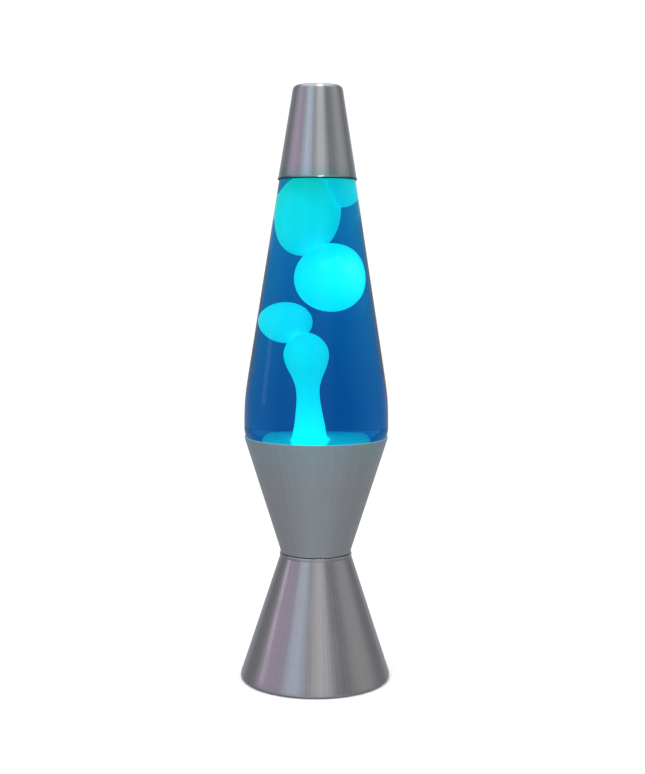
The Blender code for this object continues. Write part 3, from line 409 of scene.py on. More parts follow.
# ---- node helpers
class Tree:
    """A material's node tree, with short calls to add nodes and link them."""

    def __init__(self, name):
        self.material = bpy.data.materials.new(name)
        self.material.use_nodes = True
        self.nodes = self.material.node_tree.nodes
        self.links = self.material.node_tree.links
        self.shader = self.nodes["Principled BSDF"]
        self.output = self.nodes["Material Output"]

    @classmethod
    def of(cls, node_tree):
        """The same calls on a tree that isn't a material's, such as a world's."""
        tree = cls.__new__(cls)
        tree.nodes = node_tree.nodes
        tree.links = node_tree.links
        return tree

    def set(self, node, values):
        for key, value in values.items():
            socket = node.inputs[key]
            if isinstance(value, bpy.types.NodeSocket):
                self.links.new(value, socket)
            elif socket.type == "RGBA" and len(value) == 3:
                socket.default_value = (*value, 1.0)
            else:
                socket.default_value = value

    def add(self, kind, values=None, **settings):
        node = self.nodes.new(kind)
        for key, value in settings.items():
            setattr(node, key, value)
        self.set(node, values or {})
        return node

    def principled(self, **values):
        self.set(self.shader, {key.replace("_", " "): value for key, value in values.items()})

    def math(self, operation, a, b=0.0, clamp=False):
        return self.add("ShaderNodeMath", {0: a, 1: b}, operation=operation, use_clamp=clamp).outputs[0]

    def position(self):
        return self.add("ShaderNodeTexCoord").outputs["Object"]

    def split(self, vector):
        node = self.add("ShaderNodeSeparateXYZ", {0: vector})
        return node.outputs[0], node.outputs[1], node.outputs[2]

    def scaled(self, vector, scale):
        return self.add("ShaderNodeMapping", {"Vector": vector, "Scale": scale}).outputs[0]

    def noise(self, vector, scale, detail=3.0, roughness=0.5):
        node = self.add(
            "ShaderNodeTexNoise",
            {"Vector": vector, "Scale": scale, "Detail": detail, "Roughness": roughness},
        )
        return node.outputs["Fac"]

    def stretched_noise(self, vector, scale, detail, roughness=0.5):
        return self.noise(self.scaled(vector, scale), 1.0, detail, roughness)

    def weigh(self, a, share_a, b, share_b):
        return self.math("ADD", self.math("MULTIPLY", a, share_a), self.math("MULTIPLY", b, share_b))

    def ring_tangent(self):
        return self.add("ShaderNodeTangent", direction_type="RADIAL", axis="Z").outputs[0]

    def remap(self, value, low, high, to_low, to_high):
        node = self.add(
            "ShaderNodeMapRange",
            {"Value": value, "From Min": low, "From Max": high, "To Min": to_low, "To Max": to_high},
        )
        node.clamp = True
        return node.outputs[0]

    def mix(self, factor, a, b):
        node = self.add("ShaderNodeMix", data_type="RGBA")
        self.set(node, {0: factor, 6: a, 7: b})
        return node.outputs[2]

    def two_tone(self, noise, dark, light):
        return self.mix(self.remap(noise, 0.35, 0.65, 0.0, 1.0), dark, light)

    def bump(self, height, strength, distance, normal=None):
        values = {"Height": height, "Strength": strength, "Distance": distance}
        if normal is not None:
            values["Normal"] = normal
        return self.add("ShaderNodeBump", values).outputs[0]


# ---- materials
def around_axis(tree):
    """Direction round the lamp's axis as a unit vector, with the height as its third value."""
    x, y, z = tree.split(tree.position())
    flat = tree.add("ShaderNodeCombineXYZ", {0: x, 1: y, 2: 0.0}).outputs[0]
    unit = tree.add("ShaderNodeVectorMath", {0: flat}, operation="NORMALIZE").outputs[0]
    unit_x, unit_y, _ = tree.split(unit)
    return tree.add("ShaderNodeCombineXYZ", {0: unit_x, 1: unit_y, 2: z}).outputs[0]


def spun_aluminium(name, tone, gloss, edge_z=None):
    """Spun and brushed aluminium: fine rings round the axis, faint streaks up the side, satin wear.

    Near edge_z it has a painted teal glow that stands for the light of the lit globe below, and painted shade
    darkens the hem and the very edge."""
    tree = Tree(name)
    position = tree.position()
    direction = around_axis(tree)
    rings = tree.stretched_noise(position, (30.0, 30.0, 5200.0), 4.0, 0.7)
    streaks = tree.stretched_noise(direction, (60.0, 60.0, 5.0), 5.0, 0.6)
    broad = tree.stretched_noise(direction, (2.2, 2.2, 3.0), 2.0)
    smudge = tree.noise(position, 38.0, detail=5.0, roughness=0.6)
    shade = tree.weigh(streaks, 0.65, rings, 0.35)
    light = tuple(min(1.0, value * 1.08) for value in tone)
    dark = tuple(value * 0.83 for value in tone)
    cool = (tone[0] * 0.92, tone[1] * 0.96, tone[2] * 1.05)
    worn = tuple(value * 0.75 for value in tone)
    metal = tree.two_tone(shade, dark, light)
    metal = tree.mix(tree.remap(broad, 0.35, 0.7, 0.0, 0.16), metal, cool)
    metal = tree.mix(tree.remap(smudge, 0.55, 0.75, 0.0, 0.12), metal, worn)
    if edge_z is not None:
        z = tree.split(position)[2]
        # painted light near the cap's edge: a teal glow of the lit globe, then painted shade on the hem and
        # the very edge
        for start, full, share, tint in CAP_EDGE_PAINTED_GLOW_AND_SHADE:
            metal = tree.mix(tree.remap(z, edge_z + start * MM, edge_z + full * MM, 0.0, share), metal, tint)
    rough = tree.math(
        "ADD",
        tree.remap(streaks, 0.3, 0.7, gloss, gloss + 0.07),
        tree.remap(smudge, 0.5, 0.75, 0.0, 0.07),
    )
    bump = tree.bump(rings, 0.03, 0.00004)
    bump = tree.bump(streaks, 0.025, 0.0001, bump)
    tree.principled(
        Base_Color=metal,
        Metallic=1.0,
        Roughness=rough,
        Anisotropic=0.75,
        Anisotropic_Rotation=0.25,
        Normal=bump,
        Tangent=tree.ring_tangent(),
    )
    return tree.material


def satin_paint():
    """Silver metallic paint on spun metal: fine flake, faint upright streaks, and painted light of the lit
    globe: a teal glow near the rim and a glowing lip.
    """
    tree = Tree("satin_silver_paint")
    position = tree.position()
    z = tree.split(position)[2]
    flake = tree.noise(position, 5200.0, detail=1.0)
    streaks = tree.stretched_noise(around_axis(tree), (34.0, 34.0, 3.0), 4.0)
    cloud = tree.noise(position, 55.0, detail=4.0)
    peel = tree.noise(position, 900.0, detail=2.0)
    paint = tree.two_tone(flake, (0.34, 0.36, 0.38), (0.50, 0.53, 0.56))
    paint = tree.mix(tree.remap(streaks, 0.35, 0.65, 0.0, 0.35), paint, (0.32, 0.34, 0.37))
    paint = tree.mix(tree.remap(cloud, 0.4, 0.7, 0.0, 0.10), paint, (0.30, 0.30, 0.30))
    # painted teal glow of the lit globe, stronger towards the rim
    painted_rim_glow = tree.remap(z, RIM_Z - RIM_PAINTED_GLOW_HEIGHT, RIM_Z, 0.0, 0.35)
    paint = tree.mix(painted_rim_glow, paint, (0.26, 0.52, 0.56))
    rough = tree.remap(flake, 0.3, 0.7, 0.36, 0.46)
    rough = tree.math("ADD", rough, tree.remap(cloud, 0.4, 0.7, -0.02, 0.04))
    # painted glow on the lip, which stands for the lit globe's light on the rim
    lip = tree.remap(z, RIM_Z - 0.45 * MM, RIM_Z - 0.15 * MM, 0.0, 1.0)
    tree.principled(
        Base_Color=paint,
        Metallic=0.75,
        Roughness=rough,
        Anisotropic=0.5,
        Anisotropic_Rotation=0.25,
        Emission_Color=tree.mix(lip, (0.0, 0.0, 0.0), (0.02, 0.22, 0.32)),
        Emission_Strength=1.0,
        Normal=tree.bump(peel, 0.08, 0.0001, tree.bump(streaks, 0.04, 0.0001)),
        Tangent=tree.ring_tangent(),
    )
    return tree.material


def lit_inside():
    """The funnel's bare inside, which glows as if the bulb lit it up."""
    tree = Tree("bulb_lit_inside")
    cloud = tree.noise(tree.position(), 60.0, detail=4.0)
    glow = tree.mix(tree.remap(cloud, 0.3, 0.7, 0.0, 1.0), (0.32, 0.36, 0.52), (0.38, 0.42, 0.60))
    tree.principled(
        Base_Color=(0.55, 0.56, 0.58),
        Metallic=0.4,
        Roughness=tree.remap(cloud, 0.3, 0.7, 0.4, 0.55),
        Emission_Color=glow,
        Emission_Strength=1.0,
    )
    return tree.material


def bottle_glass(name="bottle_glass", index=GLASS_INDEX):
    """Clear blown glass with a faint waviness."""
    tree = Tree(name)
    wave = tree.noise(tree.scaled(tree.position(), (1.0, 1.0, 0.35)), 26.0, detail=2.0)
    tree.principled(
        Base_Color=(0.97, 0.99, 1.0),
        Roughness=tree.remap(wave, 0.3, 0.7, 0.0, 0.012),
        IOR=index,
        Transmission_Weight=1.0,
        Specular_Tint=(0.35, 0.80, 1.0),
        Normal=tree.bump(wave, 0.05, 0.0006),
    )
    return tree.material


def dyed_liquid():
    """Clear liquid with blue dye, which deepens with the length of the way through it."""
    tree = Tree("dyed_liquid")
    haze = tree.noise(tree.position(), 30.0, detail=2.0)
    tree.principled(
        Base_Color=(1.0, 1.0, 1.0),
        Roughness=tree.remap(haze, 0.3, 0.8, 0.0, 0.01),
        IOR=1.0,
        Transmission_Weight=1.0,
    )
    dye = tree.add("ShaderNodeVolumeAbsorption", {"Color": (0.0, 0.889, 0.953), "Density": 180.0})
    tree.links.new(dye.outputs[0], tree.output.inputs["Volume"])
    return tree.material


def wax_with_painted_glow(name, top, bottom, low, high, pool=None):
    """Molten wax with a painted glow for the bulb's light, in one colour up to the height low and in another
    from the height high.

    A dimmer painted pool glow is what shows low down and out from the column's foot."""
    tree = Tree(name)
    position = tree.position()
    x, y, z = tree.split(position)
    cloud = tree.noise(position, 60.0, detail=3.0)
    mottle = tree.remap(cloud, 0.3, 0.7, -0.06, 0.06)
    # painted glow, one colour low down and another high up
    level = tree.math("ADD", tree.remap(z, low, high, 0.0, 1.0), mottle, clamp=True)
    glow = tree.mix(level, bottom, top)
    # a dimmer painted glow on the pool, out from the column's foot
    if pool:
        _, foot_x, foot_y, _ = COLUMN[1]
        squares = [tree.math("POWER", tree.math("ADD", x, -foot_x * MM), 2.0)]
        squares.append(tree.math("POWER", tree.math("ADD", y, -foot_y * MM), 2.0))
        away = tree.math("SQRT", tree.math("ADD", *squares))
        spread = tree.remap(away, *POOL_GLOW_RADII, 0.0, 1.0)
        low_down = tree.remap(z, *POOL_GLOW_HEIGHTS, 1.0, 0.0)
        glow = tree.mix(tree.math("MULTIPLY", spread, low_down), glow, pool)
    bump = tree.bump(tree.noise(position, 60.0, detail=1.0), 0.05, 0.0004)
    tree.principled(
        Base_Color=(0.02, 0.55, 0.70),
        Roughness=tree.remap(cloud, 0.3, 0.7, 0.22, 0.34),
        Normal=bump,
        Emission_Color=glow,
        Emission_Strength=1.0,
    )
    return tree.material


def moulded(name, dark, light, rough, grain=1400.0, metallic=0.0):
    """Moulded or cast stuff: grain, slight mottling and its own roughness."""
    tree = Tree(name)
    position = tree.position()
    fine = tree.noise(position, grain, detail=3.0)
    broad = tree.noise(position, grain / 22.0, detail=4.0)
    shade = tree.weigh(fine, 0.4, broad, 0.6)
    tree.principled(
        Base_Color=tree.two_tone(shade, dark, light),
        Roughness=tree.remap(broad, 0.3, 0.7, rough - 0.05, rough + 0.08),
        Metallic=metallic,
        Normal=tree.bump(fine, 0.15, 0.00008),
    )
    return tree.material


def hot_filament():
    """Glowing tungsten, a little warmer in colour here and there."""
    tree = Tree("hot_filament")
    flicker = tree.noise(tree.position(), 900.0, detail=2.0)
    glow = tree.two_tone(flicker, (1.0, 0.62, 0.25), (1.0, 0.80, 0.48))
    tree.principled(
        Base_Color=(0.30, 0.28, 0.26),
        Roughness=tree.remap(flicker, 0.3, 0.7, 0.4, 0.6),
        Emission_Color=glow,
        Emission_Strength=12.0,
    )
    return tree.material


# ---- shells of the base
def cone_radius(height):
    """Outer side of the lower cone."""
    return straight(cone_low.z + 1.4 * MM, BASE_RADIUS, cone_high.z - 1.8 * MM, CONE_SHOULDER_RADIUS, height)


def funnel_radius(height):
    """Outer side of the upper funnel."""
    return straight(WAIST_Z, WAIST_RADIUS, RIM_Z - 0.6 * MM, funnel_high.x, height)


def make_lower_cone(finish):
    top = cone_high.z
    low = cone_low.z
    bead = 22.6 * MM
    hem_bore = 44.6 * MM
    outer = [(cone_radius(z), z, 0.0) for z in heights(low + 2.4 * MM, top - 2.6 * MM, 24)]
    inner = [(radius - WALL, z, 0.0) for radius, z, _ in outer]
    outline = rounded(
        (hem_bore, low + 1.4 * MM, 0.2 * MM),
        (hem_bore, low, 0.3 * MM),
        (BASE_RADIUS, low, 1.9 * MM),
        *outer,
        (cone_radius(top - 2.0 * MM) - 0.05 * MM, top - 2.0 * MM, 0.4 * MM),
        (bead, top - 1.5 * MM, 0.5 * MM),
        (bead, top, 0.6 * MM),
        (21.2 * MM, top, 0.3 * MM),
        (FLANGE_BORE, top - 0.1 * MM, 0.2 * MM),
        (FLANGE_BORE, top - 1.0 * MM, 0.2 * MM),
        (20.9 * MM, top - 1.0 * MM, 0.3 * MM),
        *inner[::-1],
        (BASE_RADIUS - 1.1 * MM, low + 1.4 * MM, 0.3 * MM),
        steps=4,
    )
    hole = moved(rod(GROMMET_HOLE_RADIUS, -4.0 * MM, 4.0 * MM), grommet_frame())
    shell = carve(turned(outline), hole)
    finish_piece("lower_cone_shell", shell, "base", ["lower_cone"], finish)


def grommet_frame():
    """Axis frame of the cord grommet, whose middle is that of its CAD node; its +Z points out of the cone."""
    low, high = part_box("cord_grommet")
    height = (low.z + high.z) / 2.0
    slope = atan2(BASE_RADIUS - CONE_TOP_RADIUS, cone_high.z - cone_low.z)
    tilt = Matrix.Rotation(-(pi / 2.0 - slope), 4, "X")
    return Matrix.Translation((0.0, cone_radius(height) - WALL / 2.0, height)) @ tilt


def make_upper_funnel(finish, inside):
    low = funnel_low.z
    top = RIM_Z
    outer = [(funnel_radius(z), z, 0.0) for z in heights(low + 2.4 * MM, top - 2.0 * MM, 26)]
    inner = [(radius - WALL, z, 0.0) for radius, z, _ in outer]
    outline = rounded(
        (FLANGE_BORE, low, 0.2 * MM),
        (21.95 * MM, low, 0.3 * MM),
        (WAIST_RADIUS, low + 0.9 * MM, 0.6 * MM),
        *outer,
        (funnel_high.x, top, 0.35 * MM),
        (funnel_high.x - WALL, top, 0.3 * MM),
        *inner[::-1],
        (20.6 * MM, low + 0.8 * MM, 0.5 * MM),
        (FLANGE_BORE, low + 0.8 * MM, 0.2 * MM),
        steps=4,
    )
    shell = turned(outline)
    funnel = finish_piece("upper_funnel_shell", shell, "base", ["upper_funnel"], finish)
    funnel.data.materials.append(inside)
    for face in funnel.data.polygons:
        height = face.center.z
        radius = hypot(face.center.x, face.center.y)
        if low + 1.0 * MM < height < top - 0.3 * MM and radius < funnel_radius(height) - 0.5 * WALL:
            face.material_index = 1


def make_top_cap(finish):
    low = cap_low.z
    top = cap_high.z
    edge = 24.2 * MM
    crown = 14.9 * MM
    wall = 0.5 * MM
    hem = cap_high.x
    slope = (edge - crown) / (top - low)

    def side(z):
        return edge - slope * (z - low)

    outline = rounded(
        (0.0, top - wall, 0.0),
        (side(top) - wall, top - wall, 2.8 * MM),
        (side(low + 4.0 * MM) - wall, low + 4.0 * MM, 0.0),
        (edge - wall, low + 0.1 * MM, 0.1 * MM),
        (edge - 0.1 * MM, low, 0.2 * MM),
        (hem - 0.05 * MM, low + 0.15 * MM, 0.2 * MM),
        (hem, low + 0.7 * MM, 0.3 * MM),
        (side(low + 1.6 * MM), low + 1.6 * MM, 0.3 * MM),
        *[(side(z), z, 0.0) for z in heights(low + 3.0 * MM, top - 6.0 * MM, 10)],
        (side(top) + 0.05 * MM, top, 3.4 * MM),
        (0.0, top, 0.0),
        steps=8,
    )
    finish_piece("top_cap_shell", turned(outline), "cap", ["top_cap"], finish)


# ---- globe
def glass_taper(height):
    """Outer side above the rim: a straight taper, rounded into the widest band, which tucks into the rim."""
    line = GLASS_AT_CAP + GLASS_SLOPE * (CAP_EDGE_Z - height)
    spread = (line - GLASS_MAX) / SWELL_SOFTNESS
    tuck = max(0.0, (TUCK_Z - height) / (TUCK_Z - RIM_Z)) ** 2 * TUCK_DEPTH
    return GLASS_MAX - SWELL_SOFTNESS * log(1.0 + exp(-spread)) - tuck


def glass_below_rim(height):
    """Outer side of the globe in the funnel, a hair inside the metal."""
    return straight(WAIST_Z, 22.0 * MM, RIM_Z - 0.6 * MM, funnel_high.x, height) - WALL - GLASS_GAP


def glass_outer():
    """The globe's outer side: what sits in the funnel, the taper, and the shoulder with the neck's lip."""
    seat = [(glass_below_rim(z), z) for z in heights(glass_low.z + 3.5 * MM, RIM_Z - 2.0 * MM, 8)]
    tuck = [(glass_taper(z), z) for z in heights(RIM_Z + 0.1 * MM, TUCK_Z, 8)[:-1]]
    side = tuck + [(glass_taper(z), z) for z in heights(TUCK_Z, CAP_EDGE_Z, 46)]
    shoulder_points = [
        (CAP_EDGE_Z, GLASS_AT_CAP),
        (320.0 * MM, 21.6 * MM),
        (327.0 * MM, 18.6 * MM),
        (332.0 * MM, 15.4 * MM),
        (336.5 * MM, 13.4 * MM),
        (341.0 * MM, 12.9 * MM),
        (343.2 * MM, 12.95 * MM),
    ]
    shoulder_heights = heights(CAP_EDGE_Z + 1.0 * MM, 343.0 * MM, 22)
    shoulder = [(spline_value(shoulder_points, z), z) for z in shoulder_heights]
    top = glass_high.z
    lip = [
        (13.25 * MM, 343.8 * MM),
        (13.3 * MM, 344.6 * MM),
        (13.3 * MM, top - 1.2 * MM),
        (13.05 * MM, top - 0.45 * MM),
        (12.3 * MM, top),
    ]
    return seat, side, shoulder + lip


def glass_inner_radius(height):
    """Inner side of the globe at a height above its floor."""
    floor = GLOBE_FLOOR_Z
    if height > CAP_EDGE_Z:
        points = [
            (CAP_EDGE_Z, GLASS_AT_CAP - GLASS_WALL),
            (319.0 * MM, 19.0 * MM),
            (325.0 * MM, 16.0 * MM),
            (330.0 * MM, 12.2 * MM),
            (335.0 * MM, 9.2 * MM),
            (339.0 * MM, 8.5 * MM),
        ]
        return spline_value(points, height)
    if height > RIM_Z + 6.0 * MM:
        return glass_taper(height) - GLASS_WALL
    points = [
        (floor, 26.0 * MM),
        (floor + 1.2 * MM, 30.5 * MM),
        (floor + 4.0 * MM, glass_below_rim(floor + 4.0 * MM) - 3.0 * MM),
        (RIM_Z - 6.0 * MM, glass_below_rim(RIM_Z - 6.0 * MM) - 2.6 * MM),
        (RIM_Z + 6.0 * MM, glass_taper(RIM_Z + 6.0 * MM) - GLASS_WALL),
    ]
    return spline_value(points, height)


def make_globe(finish, wetted):
    """The bottle; its inside below the liquid's surface takes the look of glass against liquid."""
    low = glass_low.z
    floor = GLOBE_FLOOR_Z
    seat, side, shoulder = glass_outer()
    bearing = [
        (0.0, low + 1.5 * MM),
        (24.0 * MM, low + 1.3 * MM),
        (26.5 * MM, low + 0.7 * MM),
        (28.0 * MM, low + 0.1 * MM),
        (29.5 * MM, low),
        (31.5 * MM, low + 0.1 * MM),
        (33.2 * MM, low + 1.0 * MM),
        (34.2 * MM, low + 2.2 * MM),
    ]
    wet = heights(floor + 0.05 * MM, LIQUID_TOP_Z, 76)
    dry = heights(LIQUID_TOP_Z + 1.0 * MM, glass_high.z - 0.4 * MM, 16)
    inner = [(glass_inner_radius(z), z) for z in wet + dry]
    outline = bearing + seat + side + shoulder + [(8.7 * MM, glass_high.z)] + inner[::-1] + [(0.0, floor)]
    bottle = turned(outline)
    globe = finish_piece("globe_bottle", bottle, "globe", ["globe_glass"], finish, sharp=60.0)
    globe.data.materials.append(wetted)
    for face in globe.data.polygons:
        radius = hypot(face.center.x, face.center.y)
        height = face.center.z
        on_side = height > floor + 0.01 * MM and radius < glass_inner_radius(height) + 0.5 * MM
        on_floor = abs(height - floor) < 0.01 * MM
        if height < LIQUID_TOP_Z and (on_side or on_floor):
            face.material_index = 1


def make_liquid(finish):
    """The liquid's skin lies a hair within the glass itself, whose wetted face bends the light."""
    overlap = 0.15 * MM
    low = GLOBE_FLOOR_Z - overlap
    top = LIQUID_TOP_Z
    side = [(glass_inner_radius(max(z, low + 0.2 * MM)) + overlap, z) for z in heights(low, top, 70)]
    outline = [(0.0, low), *side, (0.0, top)]
    finish_piece("globe_liquid", turned(outline), "globe", ["liquid"], finish, sharp=50.0)


def make_meniscus(finish):
    """The skin of the liquid's surface, which climbs the glass a little at its rim."""
    top = LIQUID_TOP_Z
    reach = glass_inner_radius(top)
    outline = [
        (0.0, top - 0.3 * MM),
        (reach + 0.1 * MM, top - 0.3 * MM),
        (glass_inner_radius(top + 1.2 * MM) + 0.1 * MM, top + 1.2 * MM),
        (reach - 0.9 * MM, top + 0.55 * MM),
        (reach - 2.0 * MM, top + 0.3 * MM),
        (0.0, top + 0.2 * MM),
    ]
    finish_piece("liquid_surface", turned(outline), "globe", [], finish, sharp=50.0)


# ---- wax
def make_wax_pool(finish):
    """The mound in the globe's bottom, in one piece with the column that stands in it."""
    outline = rounded(*((radius * MM, height * MM, 1.2 * MM) for radius, height in POOL), steps=4)
    bm = turned(outline, MEDIUM * 2)
    levels = [[(row[0] * MM, row[value] * MM) for row in COLUMN] for value in (1, 2, 3)]
    rings = []
    for z in heights(COLUMN[0][0] * MM, COLUMN[-1][0] * MM - 0.02 * MM, 90):
        x, y, reach = (spline_value(values, z) for values in levels)
        reach = max(reach, 0.5 * MM)
        rings.append([(x + reach * cos(a), y + reach * sin(a), z) for a in full_turn(MEDIUM)])
    column = mesh_from("column_part", loft(rings))
    bm.from_mesh(column)
    bpy.data.meshes.remove(column)
    finish_piece("wax_pool_and_column", bm, "globe", ["wax_pool"], finish, sharp=None)


def make_blob(name, finish):
    """An egg shape of wax, with a few soft lumps."""
    center, half, lumps, body = BLOBS[name]
    bm = bmesh.new()
    bmesh.ops.create_icosphere(bm, subdivisions=5, radius=1.0)
    for vert in bm.verts:
        direction = vert.co.normalized()
        grow = 0.0
        for way, size, tightness in lumps:
            along = max(direction.dot(Vector(way).normalized()), 0.0)
            grow += size * along ** tightness
        point = Vector(direction[k] * half[k] for k in range(3)) + direction * grow
        vert.co = (Vector(center) + point) * MM
    finish_piece(name + "_wax", bm, body, [name], finish, sharp=None)


# ---- small parts of the base
def make_grommet(finish):
    """The rubber spool in the wall, with softly rounded flanges."""
    half = WALL / 2.0
    outer = half + 1.6 * MM
    inner = -half - 2.2 * MM
    outline = rounded(
        (2.6 * MM, outer, 0.5 * MM),
        (5.7 * MM, outer, 0.9 * MM),
        (5.7 * MM, half + CLEARANCE, 0.2 * MM),
        (3.9 * MM, half + CLEARANCE, 0.1 * MM),
        (3.9 * MM, -half - 0.9 * MM, 0.1 * MM),
        (5.7 * MM, -half - 0.9 * MM, 0.2 * MM),
        (5.7 * MM, inner, 0.6 * MM),
        (2.6 * MM, inner, 0.5 * MM),
    )
    spool = moved(turned(outline, MEDIUM), grommet_frame())
    finish_piece("grommet_spool", spool, "base", ["cord_grommet"], finish)


def vent_slot(inner, outer, half_width):
    """Cutter for a slot along +X with round ends."""
    rim = []
    for x, start in ((inner + half_width, pi / 2.0), (outer - half_width, -pi / 2.0)):
        for angle in heights(start, start + pi, 10):
            rim.append((x + half_width * cos(angle), half_width * sin(angle)))
    return loft([[(x, y, z) for x, y in rim] for z in (-1.0 * MM, 5.0 * MM)])


def make_bottom_plate(finish):
    """The moulded plate snapped into the hem, with vents, wells for the feet and stiffening rings."""
    low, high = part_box("bottom_plate")
    face = low.z
    floor = face + 1.8 * MM
    edge = 44.3 * MM

    def groove(inner, outer):
        ends = ((inner, 0.0), (inner + 0.4 * MM, 0.3 * MM), (outer - 0.4 * MM, 0.3 * MM), (outer, 0.0))
        return [(radius, face + depth, 0.2 * MM if depth else 0.0) for radius, depth in ends]

    outline = rounded(
        (0.0, floor, 0.0),
        (0.0, face, 0.0),
        *groove(26.2 * MM, 27.8 * MM),
        *groove(41.6 * MM, 43.0 * MM),
        (edge, face, 0.4 * MM),
        (edge, 2.5 * MM, 0.1 * MM),
        (high.x, 2.5 * MM, 0.2 * MM),
        (high.x, 3.1 * MM, 0.2 * MM),
        (edge - 0.6 * MM, high.z, 0.3 * MM),
        (edge - 2.2 * MM, high.z, 0.3 * MM),
        (edge - 2.2 * MM, floor, 0.3 * MM),
        steps=3,
    )
    tools = []
    for angle in (45, 135, 225, 315):
        turn = Matrix.Rotation(radians(angle), 4, "Z")
        well = rod(FOOT_RADIUS + CLEARANCE, -1.0 * MM, 1.6 * MM + CLEARANCE)
        tools.append(moved(well, turn @ Matrix.Translation((FOOT_RING_RADIUS, 0.0, 0.0))))
    for number in range(6):
        turn = Matrix.Rotation(radians(60 * number), 4, "Z")
        tools.append(moved(vent_slot(9.0 * MM, 24.0 * MM, 1.4 * MM), turn))
    plate = carve(turned(outline), *tools)
    finish_piece("bottom_plate_moulding", plate, "base", ["bottom_plate"], finish)


def make_feet(finish):
    """Round rubber pads with two soft ridges."""
    for number in range(1, 5):
        low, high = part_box(f"foot_{number}")
        middle = (low + high) / 2.0
        top = high.z
        outline = rounded(
            (0.0, top, 0.0),
            (0.0, 0.25 * MM, 0.0),
            (1.6 * MM, 0.25 * MM, 0.2 * MM),
            (1.9 * MM, 0.0, 0.2 * MM),
            (2.7 * MM, 0.0, 0.2 * MM),
            (3.0 * MM, 0.25 * MM, 0.2 * MM),
            (3.7 * MM, 0.25 * MM, 0.2 * MM),
            (4.0 * MM, 0.0, 0.2 * MM),
            (FOOT_RADIUS, 0.0, 0.4 * MM),
            (FOOT_RADIUS, top, 0.1 * MM),
            steps=3,
        )
        pad = moved(turned(outline, MEDIUM), Matrix.Translation((middle.x, middle.y, 0.0)))
        finish_piece(f"foot_pad_{number}", pad, "base", [f"foot_{number}"], finish)


def make_waist_screws(finish):
    """Pan-head screws with a cross in each head."""
    for number in (1, 2):
        node = f"waist_screw_{number}"
        low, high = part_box(node)
        middle_x = (low.x + high.x) / 2.0
        head = high.z - 1.6 * MM
        shank = 1.2 * MM
        outline = rounded(
            (0.0, low.z, 0.0),
            (shank - 0.4 * MM, low.z, 0.1 * MM),
            (shank, low.z + 0.5 * MM, 0.1 * MM),
            (shank, head, 0.0),
            (2.2 * MM, head, 0.1 * MM),
            (2.2 * MM, head + 0.9 * MM, 0.5 * MM),
            (1.4 * MM, high.z, 0.6 * MM),
            (0.0, high.z, 0.0),
        )
        arms = []
        for reach_x, reach_y in ((1.25 * MM, 0.28 * MM), (0.28 * MM, 1.25 * MM)):
            corners = [(-reach_x, -reach_y), (reach_x, -reach_y), (reach_x, reach_y), (-reach_x, reach_y)]
            levels = (high.z - 0.7 * MM, high.z + 1.0 * MM)
            arms.append(loft([[(x, y, z) for x, y in corners] for z in levels]))
        screw = moved(carve(turned(outline, MEDIUM), *arms), Matrix.Translation((middle_x, 0.0, 0.0)))
        finish_piece(f"pan_head_screw_{number}", screw, "base", [node], finish, sharp=30.0)


# ---- socket and bulb
def thread_dip(angle, height, low, high, base_z, narrow_end):
    """Depth of the right-hand rolled thread at a place on a sleeve; it fades out towards low and high.

    The sleeve ends at its crest's radius, but a narrow end at the bottom keeps the root's radius."""
    turn = (height - base_z) / THREAD_PITCH - angle / TURN
    wave = 0.5 - 0.5 * cos(TURN * turn)
    fade_low = max(0.0, min(1.0, (height - low) / THREAD_PITCH))
    fade_high = max(0.0, min(1.0, (high - height) / THREAD_PITCH))
    wave = 1.0 - fade_low * (1.0 - wave) if narrow_end else fade_low * wave
    return THREAD_DEPTH * fade_high * wave


def threaded_sleeve(inside, wall, low, high, thread_low, thread_high, base_z, narrow_end=False):
    """A thin sleeve pressed to a thread; its inner crest has radius inside."""
    rings = []
    levels = heights(low, high, 110)
    for grow, level_list in ((wall, levels), (0.0, levels[::-1])):
        for height in level_list:
            ring = []
            for angle in full_turn(80):
                dip = thread_dip(angle, height, thread_low, thread_high, base_z, narrow_end)
                ring.append(polar(inside + grow - dip, angle, height))
            rings.append(ring)
    return loft(rings + [rings[0]], ends=False)


def make_socket(bakelite, brass):
    low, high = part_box("socket_body")
    shell_low, shell_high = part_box("socket_shell")
    thread_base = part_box("bulb_shell")[0].z
    floor = 42.0 * MM
    ledge = 46.7 * MM
    grooves = []
    for z in (60.0 * MM, 56.0 * MM, 52.0 * MM):
        bottom = (high.x - 0.35 * MM, z + 0.5 * MM, 0.2 * MM)
        grooves += [(high.x, z + 1.0 * MM, 0.0), bottom, (high.x, z, 0.0)]
    outline = rounded(
        (9.6 * MM, high.z, 0.3 * MM),
        (high.x, high.z, 0.8 * MM),
        *grooves,
        (high.x, ledge, 0.6 * MM),
        (high.x - 1.5 * MM, ledge - 2.0 * MM, 0.8 * MM),
        (high.x - 1.5 * MM, low.z, 0.5 * MM),
        (4.3 * MM, low.z, 0.2 * MM),
        (4.3 * MM, low.z + 5.4 * MM, 0.0),
        (1.6 * MM, low.z + 5.4 * MM, 0.0),
        (1.6 * MM, floor, 0.2 * MM),
        (8.0 * MM, floor, 0.3 * MM),
        (8.0 * MM, ledge, 0.1 * MM),
        (9.6 * MM, ledge, 0.1 * MM),
    )
    finish_piece("socket_moulding", turned(outline, 96), "base", ["socket_body"], bakelite)
    inside = BULB_CREST_RADIUS + CLEARANCE
    sleeve = threaded_sleeve(
        inside, 0.4 * MM, shell_low.z, shell_high.z, thread_base, shell_high.z - 1.0 * MM, thread_base
    )
    finish_piece("socket_thread", sleeve, "base", ["socket_shell"], brass, sharp=60.0)


